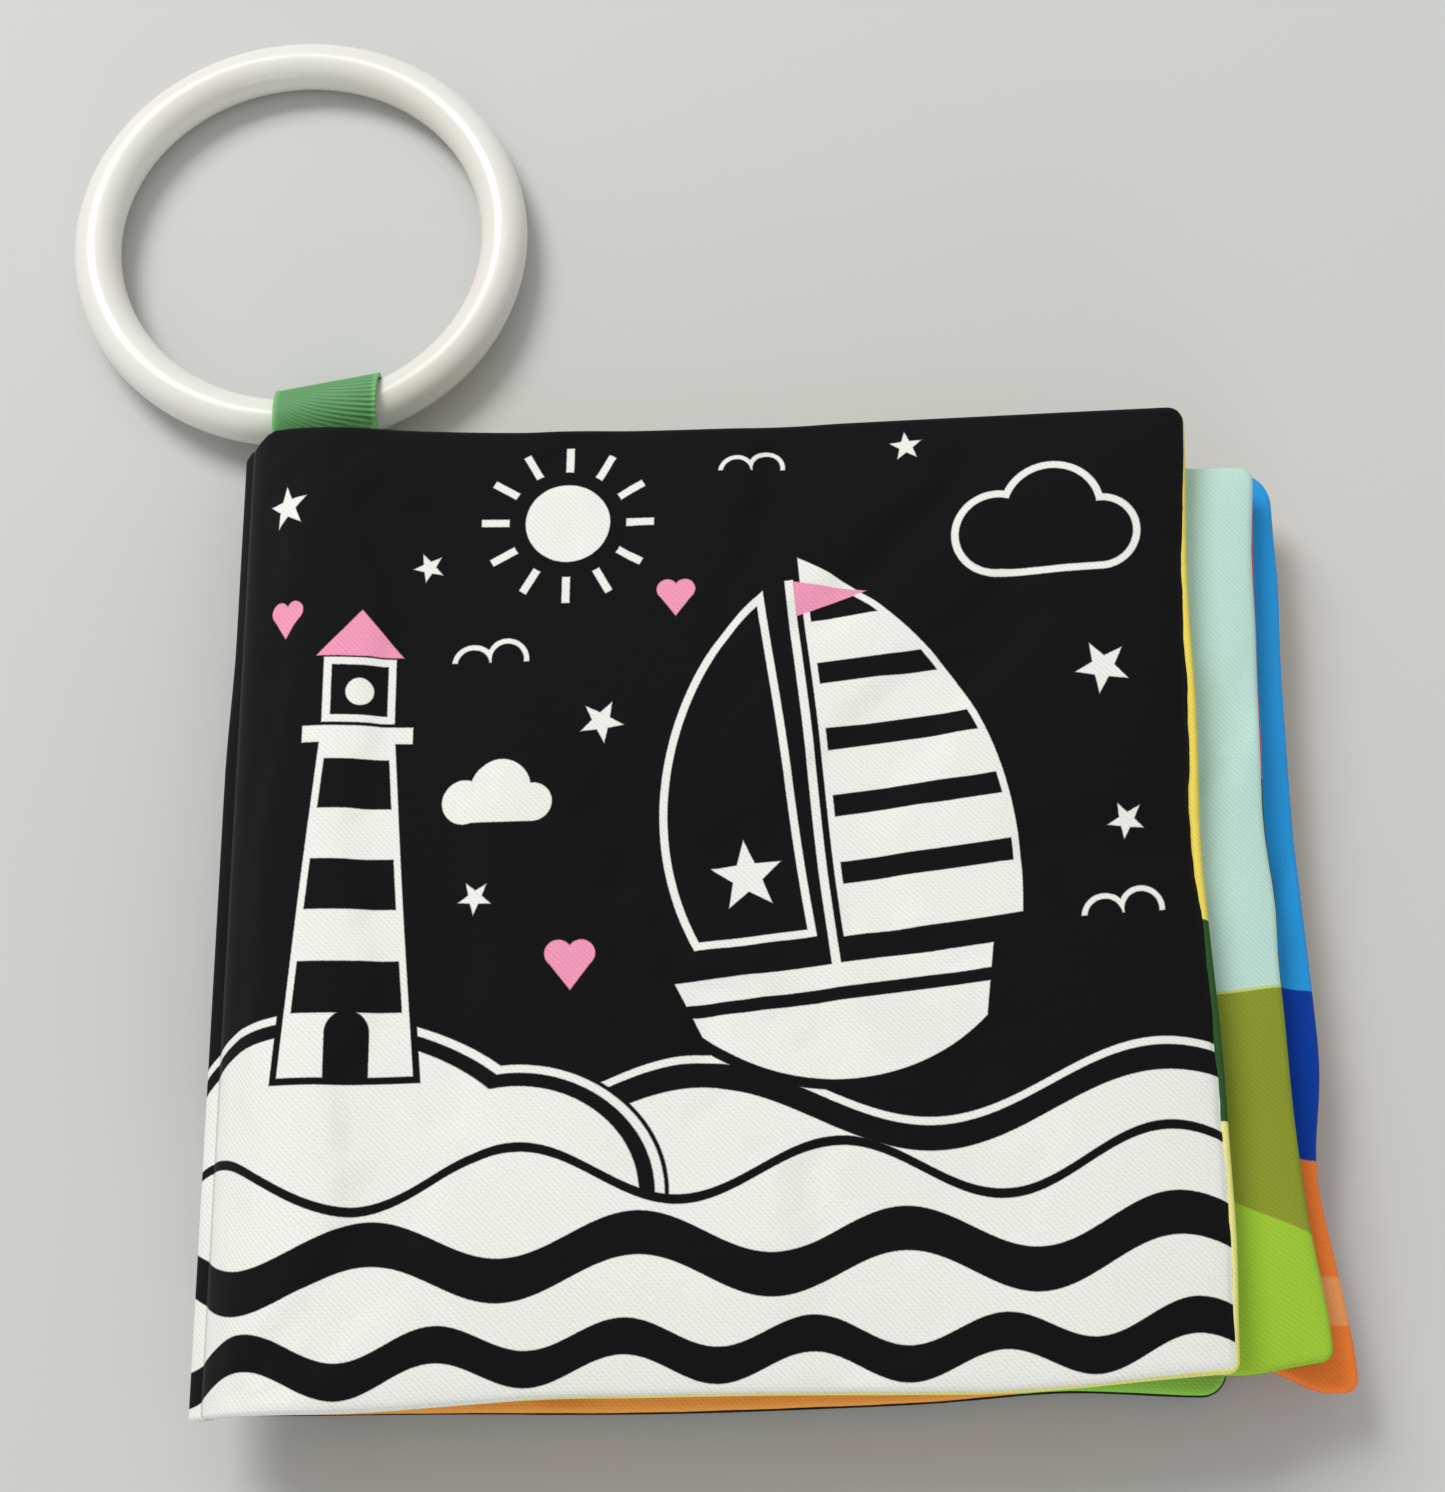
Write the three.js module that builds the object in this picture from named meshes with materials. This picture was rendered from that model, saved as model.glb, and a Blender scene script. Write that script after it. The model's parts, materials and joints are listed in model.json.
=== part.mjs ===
// A soft cloth baby book, closed and lying on its back cover, with a plastic ring on a ribbon.
// Units are millimetres. +X runs from the spine to the fore-edge, +Y up the page to the ring, +Z up.
// The origin is the middle of the flat on the back cover's underside.
//
// The book is two padded spreads, one nested in the other, sewn together down one stitch line.
// Each spread has two leaves, so there are four leaves, and each leaf turns about that stitch line.

import * as THREE from 'three';

// The page and the pile of leaves
const pageWidth = 107;          // back cover, stitch line to fore-edge
const pageHeight = 107;         // back cover, bottom edge to top edge
const leafThickness = 5;        // a padded leaf at its crown
const leafGap = 0.3;            // running clearance between leaves
const restingCut = 0.5;         // how deep the floor flattens the underside's crown
const cornerRadius = 2.5;

// How a leaf fills out from its seams
const clothThickness = 0.5;     // printed cloth with its backing
const seamThickness = 1.4;      // both cloths at the edge seams
const spineSeamThickness = 1;   // both cloths pressed into the stitch line
const edgeRollWidth = 14;       // from an edge seam to the full thickness
const spineRollWidth = 16;      // from the stitch line to the full thickness
const clothShare = 0.7;         // most of a leaf's half thickness that its cloth may take
const edgeWaistSkewShare = 0.6; // draws the waist of the top and bottom edges towards the spine

// How a leaf climbs from the stitch line to its place in the pile
const climbWidth = 13;          // where every leaf lies flat, from the stitch line
const climbLeadWidth = 5.5;     // length of the flat end of that bend
const climbLeadShare = 0.65;    // length of its steep end, of the straight way up

// The seam roll on the stitch line, from its middle outwards
const innerFoldRadius = 0.4;
const innerFoldThickness = 0.3;
const foldGap = 0.15;
const outerFoldThickness = 0.35;
const foldArcDegrees = 190;
const leafStartGap = 0.2;       // from the seam roll to the leaves that turn round it

// Sewing thread
const threadWidth = 0.4;
const threadHeight = 0.2;
const threadGap = 0.1;
const threadNeckShare = 0.35;   // of a stitch's thickness, where it dips into the cloth
const stitchLength = 3.6;
const edgeThreadRadius = 0.3;
const edgeThreadInset = 0.6;    // from the edge of the leaf

// Padding and crinkle film inside a leaf
const layerGap = 0.15;
const filmThickness = 0.25;
const fillInset = 3;            // from the edge seams
const fillStartShare = 0.55;    // where the filling starts on the climb

// Ring and ribbon
const ringDiameter = 55;
const ringBar = 5.6;
const ringGap = 0.2;            // running clearance inside the ribbon's loop
const ribbonWidth = 12;
const ribbonThickness = 0.45;
const ribbonFromSpine = 7.3;    // middle of the ribbon to the stitch line
const ribbonReach = 6.4;        // top seam to the middle of the loop
const ribbonSeamGap = 0.6;
const ringOffset = 4.5;         // the ring hangs off the ribbon's middle, towards the spine

// The leaves from the floor up. Each is cut and stuffed by hand, so each has its own outline:
// how far its fore-edge and its top and bottom edges stand past the nominal page.
const leaves = [
  {
    name: 'back_cover', lower: 'outer_cloth', upper: 'inner_cloth', exitDegrees: -68, cut: restingCut,
    foreTop: 0, foreBottom: -0.5, foreWaist: 1,
    spineTop: 0.3, edgeTop: -0.5, topWaist: 1, spineBottom: 1.3, edgeBottom: -0.2,
  },
  {
    name: 'leaf_3', lower: 'back_cloth', upper: 'front_cloth', exitDegrees: -28, cut: 0,
    foreTop: 10.2, foreBottom: 11.2, foreWaist: 0.9,
    spineTop: -5, edgeTop: -4.4, topWaist: 0.5, spineBottom: -1.8, edgeBottom: -0.7,
  },
  {
    name: 'leaf_2', lower: 'back_cloth', upper: 'front_cloth', exitDegrees: 28, cut: 0,
    foreTop: 6.7, foreBottom: 8, foreWaist: 2.2,
    spineTop: -5.2, edgeTop: -5.7, topWaist: 0.5, spineBottom: -2.3, edgeBottom: -2.3,
  },
  {
    name: 'front_cover', lower: 'inner_cloth', upper: 'outer_cloth', exitDegrees: 68, cut: 0,
    foreTop: -1.3, foreBottom: -2.4, foreWaist: 1.6,
    spineTop: 0.3, edgeTop: 0, topWaist: 2.9, spineBottom: 1.9, edgeBottom: -1.9,
  },
];

// Shares that place the rows of a leaf's mesh, of the roll width beside each seam
// and of the flat run between them
const edgeRollShares = [0, 0.06, 0.25, 0.6, 1];
const climbShares = [0, 0.3, 0.6, 0.8, 1];
const runShares = [0.5];
const middleRow = { heightShare: 0.5 };
const fillRollShares = [0, 0.4, 1];
const stitchShares = [0.15, 0.85];

// Counts
const foldSteps = 12;
const threadSides = 4;
const edgeThreadSides = 5;
const ringSteps = 44;
const ringSides = 12;
const loopSteps = 20;
const ribbonStrips = 5;
const searchSteps = 30;

const spineX = -pageWidth / 2;
const pageBottom = -pageHeight / 2;
const pageTop = pageHeight / 2;
const leafPitch = leafThickness + leafGap;
const crownHalf = leafThickness / 2;
const innerFoldOuter = innerFoldRadius + innerFoldThickness;
const outerFoldInner = innerFoldOuter + foldGap;
const outerFoldOuter = outerFoldInner + outerFoldThickness;
const seamRollRadius = outerFoldOuter + threadGap + threadHeight;
const leafStart = seamRollRadius + leafStartGap;

leaves.forEach((leaf, index) => {
  leaf.height = crownHalf - restingCut + index * leafPitch;
});

// The stitch line lies so high that the cover, opened flat, just reaches the floor.
const stitchHeight = (leaves.at(-1).height + crownHalf) / 2;

const material = (color, roughness, metalness = 0) =>
  new THREE.MeshStandardMaterial({ color, roughness, metalness });

const clothRoughness = 0.85;
const clothColors = {
  back_cover_outer_cloth: 0x161616,
  back_cover_inner_cloth: 0xe8742c,
  leaf_3_back_cloth: 0xe87848,
  leaf_3_front_cloth: 0x2080c0,
  leaf_2_back_cloth: 0xd85848,
  leaf_2_front_cloth: 0xb8e0d4,
  front_cover_inner_cloth: 0xe8d850,
  front_cover_outer_cloth: 0x161616,
};
const battingMaterial = material(0xf2f2ee, 0.95);
const filmMaterial = material(0xdde4e8, 0.35);
const threadMaterial = material(0x202020, 0.8);
const ribbonMaterial = material(0x55964e, 0.75);
const ringMaterial = material(0xeeece6, 0.25);

const book = new THREE.Group();
book.name = 'cloth_book';

function addMesh(name, geometry, look) {
  const mesh = new THREE.Mesh(geometry, look);
  mesh.name = name;
  book.add(mesh);
  return mesh;
}

// Outline of a leaf, seen from above

const waist = (depth, share) => depth * Math.sin(Math.PI * share);

function leafTop(leaf, x) {
  const share = x / (pageWidth + leaf.foreTop);
  const line = THREE.MathUtils.lerp(leaf.spineTop, leaf.edgeTop, share);
  return pageTop + line - waist(leaf.topWaist, Math.min(1, share) ** edgeWaistSkewShare);
}

function leafBottom(leaf, x) {
  const share = x / (pageWidth + leaf.foreBottom);
  return pageBottom - THREE.MathUtils.lerp(leaf.spineBottom, leaf.edgeBottom, share);
}

function cornerCut(fromEdge) {
  if (fromEdge >= cornerRadius) return 0;
  return cornerRadius - Math.sqrt(cornerRadius ** 2 - (cornerRadius - fromEdge) ** 2);
}

// A row crosses the leaf from spine to fore-edge, at a set distance from its bottom or top edge
// or at a share of its height.
function leafReach(leaf, row) {
  const height = pageHeight + leaf.edgeTop + leaf.edgeBottom;
  let share = row.heightShare;
  if (row.fromBottom !== undefined) share = row.fromBottom / height;
  if (row.fromTop !== undefined) share = 1 - row.fromTop / height;
  const line = THREE.MathUtils.lerp(leaf.foreBottom, leaf.foreTop, share);
  const fromEdge = Math.min(share, 1 - share) * height;
  return pageWidth + line - waist(leaf.foreWaist, share) - cornerCut(fromEdge);
}

function rowHeight(leaf, row, x) {
  const bottom = leafBottom(leaf, x);
  const top = leafTop(leaf, x);
  if (row.fromBottom !== undefined) return bottom + row.fromBottom;
  if (row.fromTop !== undefined) return top - row.fromTop;
  return THREE.MathUtils.lerp(bottom, top, row.heightShare);
}

// The middle line of a leaf, seen from its bottom edge: a bend up or down from the stitch line,
// then flat to the fore-edge

function climbCurve(leaf) {
  const exit = THREE.MathUtils.degToRad(leaf.exitDegrees);
  const rise = leaf.height - stitchHeight;
  const way = new THREE.Vector2(Math.cos(exit), Math.sin(exit));
  const lead = climbLeadShare * (rise / Math.sin(exit) - leafStart);
  const start = way.clone().multiplyScalar(leafStart);
  return new THREE.CubicBezierCurve(
    start,
    start.clone().addScaledVector(way, lead),
    new THREE.Vector2(climbWidth - climbLeadWidth, rise),
    new THREE.Vector2(climbWidth, rise),
  );
}

leaves.forEach((leaf) => {
  leaf.climb = climbCurve(leaf);
});

// A station is a place along the middle line: a share of the climb, a share of the flat run
// or a distance from the fore-edge.
function middlePoint(leaf, station, reach) {
  if (station.climbShare !== undefined) {
    const point = leaf.climb.getPoint(station.climbShare);
    const along = leaf.climb.getTangent(station.climbShare);
    return { x: point.x, rise: point.y, normalX: -along.y, normalZ: along.x };
  }
  const runEnd = reach - edgeRollWidth;
  const x = station.runShare !== undefined
    ? THREE.MathUtils.lerp(climbWidth, runEnd, station.runShare) : reach - station.fromFore;
  return { x, rise: leaf.height - stitchHeight, normalX: 0, normalZ: 1 };
}

const quarterRound = (share) => Math.sqrt(1 - (1 - THREE.MathUtils.clamp(share, 0, 1)) ** 2);
const softStep = (share) => Math.sin(Math.PI / 2 * THREE.MathUtils.clamp(share, 0, 1)) ** 2;

function halfThickness(fromStitch, fromFore, fromBottom, fromTop) {
  const spineShare = softStep((fromStitch - leafStart) / spineRollWidth);
  const seam = THREE.MathUtils.lerp(spineSeamThickness, seamThickness, spineShare) / 2;
  const edges = [fromFore, fromBottom, fromTop].map((edge) => quarterRound(edge / edgeRollWidth));
  return seam + (crownHalf - seamThickness / 2) * spineShare * edges[0] * edges[1] * edges[2];
}

// One point of a leaf. layer takes the leaf's half thickness above and below its middle
// and gives the height of the point over the middle.
function leafPoint(leaf, station, row, layer) {
  const reach = leafReach(leaf, row);
  const { x, rise, normalX, normalZ } = middlePoint(leaf, station, reach);
  const y = rowHeight(leaf, row, x);
  const half = halfThickness(
    Math.hypot(x, rise), reach - x, y - leafBottom(leaf, x), leafTop(leaf, x) - y);
  const offset = layer({ above: half, below: Math.min(half, crownHalf - leaf.cut) });
  return new THREE.Vector3(
    spineX + x + normalX * offset, y, stitchHeight + rise + normalZ * offset);
}

// A closed slab between two layers of a leaf
function leafSlab(leaf, stations, rows, upperLayer, lowerLayer) {
  const points = [upperLayer, lowerLayer].flatMap((layer) =>
    rows.flatMap((row) => stations.map((station) => leafPoint(leaf, station, row, layer))));
  return closedSlab(points, stations.length, rows.length);
}

// Joins two grids of points, the upper one first, into a closed body
function closedSlab(points, columns, rows) {
  const upper = (column, row) => row * columns + column;
  const lower = (column, row) => rows * columns + upper(column, row);
  const faces = [];
  const quad = (a, b, c, d) => faces.push(a, b, c, a, c, d);
  for (let row = 0; row < rows - 1; row += 1) {
    for (let column = 0; column < columns - 1; column += 1) {
      quad(upper(column, row), upper(column + 1, row),
        upper(column + 1, row + 1), upper(column, row + 1));
      quad(lower(column, row), lower(column, row + 1),
        lower(column + 1, row + 1), lower(column + 1, row));
    }
  }
  const lastRow = rows - 1;
  const lastColumn = columns - 1;
  for (let column = 0; column < lastColumn; column += 1) {
    quad(lower(column, 0), lower(column + 1, 0), upper(column + 1, 0), upper(column, 0));
    quad(upper(column, lastRow), upper(column + 1, lastRow),
      lower(column + 1, lastRow), lower(column, lastRow));
  }
  for (let row = 0; row < lastRow; row += 1) {
    quad(upper(0, row), upper(0, row + 1), lower(0, row + 1), lower(0, row));
    quad(lower(lastColumn, row), lower(lastColumn, row + 1),
      upper(lastColumn, row + 1), upper(lastColumn, row));
  }
  return indexedGeometry(points, faces);
}

function indexedGeometry(points, faces) {
  const geometry = new THREE.BufferGeometry().setFromPoints(points);
  geometry.setIndex(faces);
  geometry.computeVertexNormals();
  return geometry;
}

// A tube round a line of rings. Each ring has a middle, two half axes and its own scale.
function ringedTube(rings, sides) {
  const points = rings.flatMap(({ middle, across, up, scale = 1 }) =>
    Array.from({ length: sides }, (_, side) => {
      const turn = 2 * Math.PI * side / sides;
      return middle.clone()
        .addScaledVector(across, scale * Math.cos(turn))
        .addScaledVector(up, scale * Math.sin(turn));
    }));
  const faces = [];
  for (let ring = 0; ring < rings.length - 1; ring += 1) {
    for (let side = 0; side < sides; side += 1) {
      const a = ring * sides + side;
      const b = ring * sides + (side + 1) % sides;
      faces.push(a, b, b + sides, a, b + sides, a + sides);
    }
  }
  const last = (rings.length - 1) * sides;
  for (let side = 1; side < sides - 1; side += 1) {
    faces.push(0, side + 1, side, last, last + side, last + side + 1);
  }
  return indexedGeometry(points, faces);
}

// Cloths, film and padding of each leaf

const clothStations = [
  ...climbShares.map((climbShare) => ({ climbShare })),
  ...runShares.map((runShare) => ({ runShare })),
  ...edgeRollShares.map((share) => ({ fromFore: share * edgeRollWidth })).reverse(),
];
const clothRows = [
  ...edgeRollShares.map((share) => ({ fromBottom: share * edgeRollWidth })),
  middleRow,
  ...edgeRollShares.map((share) => ({ fromTop: share * edgeRollWidth })).reverse(),
];

const clothInside = (half) => half - Math.min(clothThickness, clothShare * half);
const filmOutside = (half) => half - clothThickness - layerGap;
const filmInside = (half) => filmOutside(half) - filmThickness;

function addCloths(leaf) {
  const upperName = `${leaf.name}_${leaf.upper}`;
  const lowerName = `${leaf.name}_${leaf.lower}`;
  const upper = leafSlab(leaf, clothStations, clothRows,
    ({ above }) => above, ({ above }) => clothInside(above));
  const lower = leafSlab(leaf, clothStations, clothRows,
    ({ below }) => -clothInside(below), ({ below }) => -below);
  addMesh(upperName, upper, material(clothColors[upperName], clothRoughness));
  addMesh(lowerName, lower, material(clothColors[lowerName], clothRoughness));
}

// The filling keeps clear of the seams, and the film lies under the upper cloth.
function addFilling(leaf) {
  const insets = fillRollShares.map((share) => THREE.MathUtils.lerp(fillInset, edgeRollWidth, share));
  const stations = [
    { climbShare: fillStartShare },
    { climbShare: (1 + fillStartShare) / 2 },
    { climbShare: 1 },
    ...runShares.map((runShare) => ({ runShare })),
    ...insets.map((fromFore) => ({ fromFore })).reverse(),
  ];
  const rows = [
    ...insets.map((fromBottom) => ({ fromBottom })),
    middleRow,
    ...insets.map((fromTop) => ({ fromTop })).reverse(),
  ];
  addMesh(`${leaf.name}_crinkle_film`, leafSlab(leaf, stations, rows,
    ({ above }) => filmOutside(above), ({ above }) => filmInside(above)), filmMaterial);
  addMesh(`${leaf.name}_batting`, leafSlab(leaf, stations, rows,
    ({ above }) => filmInside(above) - layerGap,
    ({ below }) => -(below - clothThickness - layerGap)), battingMaterial);
}

// The seam that closes a leaf runs from the spine along the bottom, up the fore-edge and back.
// Near the stitch line the pressed cloths leave the thread less room, and it lies flatter.
function addEdgeThread(leaf) {
  const pastCorner = edgeRollShares.filter((share) => share * edgeRollWidth > cornerRadius)
    .map((share) => share * edgeRollWidth);
  const along = [
    ...climbShares.slice(1).map((climbShare) => ({ climbShare })),
    ...runShares.map((runShare) => ({ runShare })),
    ...pastCorner.map((fromFore) => ({ fromFore })).reverse(),
  ];
  const places = [
    ...along.map((station) => [station, { fromBottom: edgeThreadInset }]),
    ...pastCorner.map((fromBottom) => [{ fromFore: edgeThreadInset }, { fromBottom }]),
    [{ fromFore: edgeThreadInset }, middleRow],
    ...pastCorner.map((fromTop) => [{ fromFore: edgeThreadInset }, { fromTop }]).reverse(),
    ...along.map((station) => [station, { fromTop: edgeThreadInset }]).reverse(),
  ];
  const middles = places.map(([station, row]) => leafPoint(leaf, station, row, () => 0));
  const rings = places.map(([station, row], index) => {
    const middle = middles[index];
    const inside = leafPoint(leaf, station, row, ({ below }) => clothInside(below));
    const room = inside.clone().sub(middle);
    const before = middles[Math.max(0, index - 1)];
    const after = middles[Math.min(places.length - 1, index + 1)];
    const across = room.clone().cross(after.clone().sub(before));
    return {
      middle,
      across: across.setLength(edgeThreadRadius),
      up: room.clone().setLength(Math.min(edgeThreadRadius, room.length() - threadGap)),
    };
  });
  addMesh(`${leaf.name}_edge_thread`, ringedTube(rings, edgeThreadSides), threadMaterial);
}

// Folds of the two spreads and the stitching that holds them together, on the stitch line

function addSpineFold(name, leaf, innerRadius, outerRadius) {
  const half = THREE.MathUtils.degToRad(foldArcDegrees) / 2;
  const arc = (radius, sign) => Array.from({ length: foldSteps + 1 }, (_, step) => {
    const angle = Math.PI + sign * half * (1 - 2 * step / foldSteps);
    return new THREE.Vector2(radius * Math.cos(angle), radius * Math.sin(angle));
  });
  const section = new THREE.Shape([...arc(outerRadius, -1), ...arc(innerRadius, 1)]);
  const bottom = leafBottom(leaf, 0);
  const depth = leafTop(leaf, 0) - bottom;
  const geometry = new THREE.ExtrudeGeometry(section, { depth, bevelEnabled: false });
  geometry.rotateX(Math.PI / 2);
  const color = clothColors[`${leaf.name}_${leaf.upper}`];
  const fold = addMesh(name, geometry, material(color, clothRoughness));
  fold.position.set(spineX, leafTop(leaf, 0), stitchHeight);
}

// A row of stitches: one thread that lies flat on the cloth and thins where it dips in
function addStitchRow(name, leaf, x) {
  const bottom = leafBottom(leaf, 0) + cornerRadius;
  const top = leafTop(leaf, 0) - cornerRadius;
  const count = Math.round((top - bottom) / stitchLength);
  const across = new THREE.Vector3(threadHeight / 2, 0, 0);
  const up = new THREE.Vector3(0, 0, -threadWidth / 2);
  const ringAt = (share, scale) => ({
    middle: new THREE.Vector3(spineX + x, THREE.MathUtils.lerp(bottom, top, share), stitchHeight),
    across, up, scale,
  });
  const rings = Array.from({ length: count }, (_, stitch) => [
    ringAt(stitch / count, threadNeckShare),
    ...stitchShares.map((share) => ringAt((stitch + share) / count, 1)),
  ]).flat();
  rings.push(ringAt(1, threadNeckShare));
  addMesh(name, ringedTube(rings, threadSides), threadMaterial);
}

// Ring, and the ribbon whose loop it turns in

const barRadius = ringBar / 2;
const ringRadius = ringDiameter / 2 - barRadius;

// The ring's middle line, seen from above, at a distance beside its nearest point to the book
const ringLine = (x) => ringRadius - Math.sqrt(ringRadius ** 2 - x ** 2);

// Where the ribbon's two selvedges cross the ring, and the chord between those places
const nearSelvedge = ringLine(ringOffset - ribbonWidth / 2);
const farSelvedge = ringLine(ringOffset + ribbonWidth / 2);
const loopSlope = (farSelvedge - nearSelvedge) / ribbonWidth;
const barBow = (farSelvedge + nearSelvedge) / 2 - ringLine(ringOffset);
const farAngle = Math.asin((ringOffset + ribbonWidth / 2) / ringRadius);
const loopRadius = barRadius / Math.cos(farAngle) + barBow / 2 + ringGap + ribbonThickness / 2;
const loopHeight = loopRadius + ribbonThickness / 2;
const backCover = leaves[0];
const loopX = ribbonFromSpine;
const loopY = leafTop(backCover, loopX) + ribbonReach;

// Height of a leaf's middle line at a distance from the stitch line on its climb
function climbHeight(leaf, x) {
  let low = 0;
  let high = 1;
  for (let step = 0; step < searchSteps; step += 1) {
    const share = (low + high) / 2;
    if (leaf.climb.getPoint(share).x < x) low = share;
    else high = share;
  }
  return stitchHeight + leaf.climb.getPoint(low).y;
}

// One slice across the ribbon: from the seam over the bar, round it and back to the seam
function ribbonSlice(x) {
  const seam = new THREE.Vector2(leafTop(backCover, x) + ribbonSeamGap,
    x < climbWidth ? climbHeight(backCover, x) : backCover.height);
  const loop = new THREE.Vector2(loopY + (x - loopX) * loopSlope, loopHeight);
  const toSeam = seam.clone().sub(loop);
  const upright = new THREE.Vector2(toSeam.y, -toSeam.x).normalize();
  const ply = (ribbonThickness + threadGap) / 2;
  const ends = [1, -1].map((side) => {
    const start = seam.clone().addScaledVector(upright, side * ply);
    const reach = start.clone().sub(loop);
    return { start, touch: reach.angle() - side * Math.acos(loopRadius / reach.length()) };
  });
  const [over, under] = ends;
  const sweep = over.touch - (under.touch - 2 * Math.PI);
  const round = Array.from({ length: loopSteps + 1 }, (_, step) => {
    const angle = over.touch - sweep * step / loopSteps;
    const out = new THREE.Vector2(Math.cos(angle), Math.sin(angle));
    return { point: loop.clone().addScaledVector(out, loopRadius), out };
  });
  return [
    { point: over.start, out: round[0].out },
    ...round,
    { point: under.start, out: round.at(-1).out },
  ];
}

function addRibbon() {
  const slices = Array.from({ length: ribbonStrips + 1 }, (_, strip) => {
    const x = loopX + ribbonWidth * (strip / ribbonStrips - 1 / 2);
    return { x, path: ribbonSlice(x) };
  });
  const points = [-1, 1].flatMap((side) => slices.flatMap(({ x, path }) =>
    path.map(({ point, out }) => {
      const place = point.clone().addScaledVector(out, side * ribbonThickness / 2);
      return new THREE.Vector3(spineX + x, place.x, place.y);
    })));
  addMesh('ribbon_loop', closedSlab(points, loopSteps + 3, slices.length), ribbonMaterial);
}

// The ring rests on the floor at its far side and in the ribbon's loop at its near side.
function addRing() {
  const fromLoop = ringRadius - ringLine(ringOffset) - barBow / 2;
  const tilt = Math.asin((loopHeight - barRadius) / (ringRadius + fromLoop));
  const geometry = new THREE.TorusGeometry(ringRadius, barRadius, ringSides, ringSteps);
  const ring = addMesh('ring', geometry, ringMaterial);
  ring.rotation.x = -tilt;
  ring.position.set(
    spineX + loopX - ringOffset,
    loopY + fromLoop * Math.cos(tilt),
    barRadius + ringRadius * Math.sin(tilt),
  );
}

leaves.forEach((leaf) => {
  addCloths(leaf);
  addFilling(leaf);
  addEdgeThread(leaf);
});
addSpineFold('outer_spread_spine_fold', leaves[3], outerFoldInner, outerFoldOuter);
addSpineFold('inner_spread_spine_fold', leaves[2], innerFoldRadius, innerFoldOuter);
addStitchRow('spine_needle_thread', leaves[3], -(outerFoldOuter + threadGap + threadHeight / 2));
addStitchRow('spine_bobbin_thread', leaves[2], 0);
addRibbon();
addRing();

export default book;
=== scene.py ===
"""The looks of a soft cloth baby book, closed, with a plastic ring on a ribbon at the head of its spine.

Lengths are millimetres until a mesh is made; meshes, lights and the camera are in metres.
On a page, x runs from the stitch line to the fore-edge and y from the bottom edge to the top.
"""

import json
import math

import bpy
import numpy as np
from mathutils import Euler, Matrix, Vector


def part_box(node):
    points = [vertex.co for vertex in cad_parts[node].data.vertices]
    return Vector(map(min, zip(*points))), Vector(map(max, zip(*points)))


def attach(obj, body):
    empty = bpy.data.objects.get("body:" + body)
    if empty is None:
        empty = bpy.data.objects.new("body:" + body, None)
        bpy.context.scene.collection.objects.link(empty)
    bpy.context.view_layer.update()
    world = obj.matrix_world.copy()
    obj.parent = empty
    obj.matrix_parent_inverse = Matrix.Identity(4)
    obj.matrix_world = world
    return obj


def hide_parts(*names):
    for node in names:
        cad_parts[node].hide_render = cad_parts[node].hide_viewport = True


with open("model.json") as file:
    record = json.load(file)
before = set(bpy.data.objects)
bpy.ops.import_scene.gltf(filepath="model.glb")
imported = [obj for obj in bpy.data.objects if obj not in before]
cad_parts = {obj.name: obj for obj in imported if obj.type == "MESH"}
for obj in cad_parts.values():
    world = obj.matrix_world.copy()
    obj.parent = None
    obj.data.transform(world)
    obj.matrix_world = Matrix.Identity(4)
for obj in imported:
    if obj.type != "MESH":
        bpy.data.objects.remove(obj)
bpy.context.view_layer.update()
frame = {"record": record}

MM = 0.001
TINY = 1e-6

# The page and the pile of leaves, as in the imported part
PAGE_WIDTH = 107
PAGE_HEIGHT = 107
LEAF_THICKNESS = 5
LEAF_GAP = 0.3
RESTING_CUT = 0.5
CORNER_RADIUS = 2.5
SEAM_THICKNESS = 1.4
SPINE_SEAM_THICKNESS = 1
EDGE_ROLL = 14
SPINE_ROLL = 16
WAIST_SKEW_SHARE = 0.6
CLIMB_WIDTH = 13
CLIMB_LEAD_WIDTH = 5.5
CLIMB_LEAD_SHARE = 0.65
LEAF_START = 1.7

# Cloth, filling and thread
CLOTH = 0.35
LAYER_GAP = 0.12
FILM = 0.06
FILL_INSET = 3.5
THREAD = 0.4
STITCH = 3.6

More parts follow.
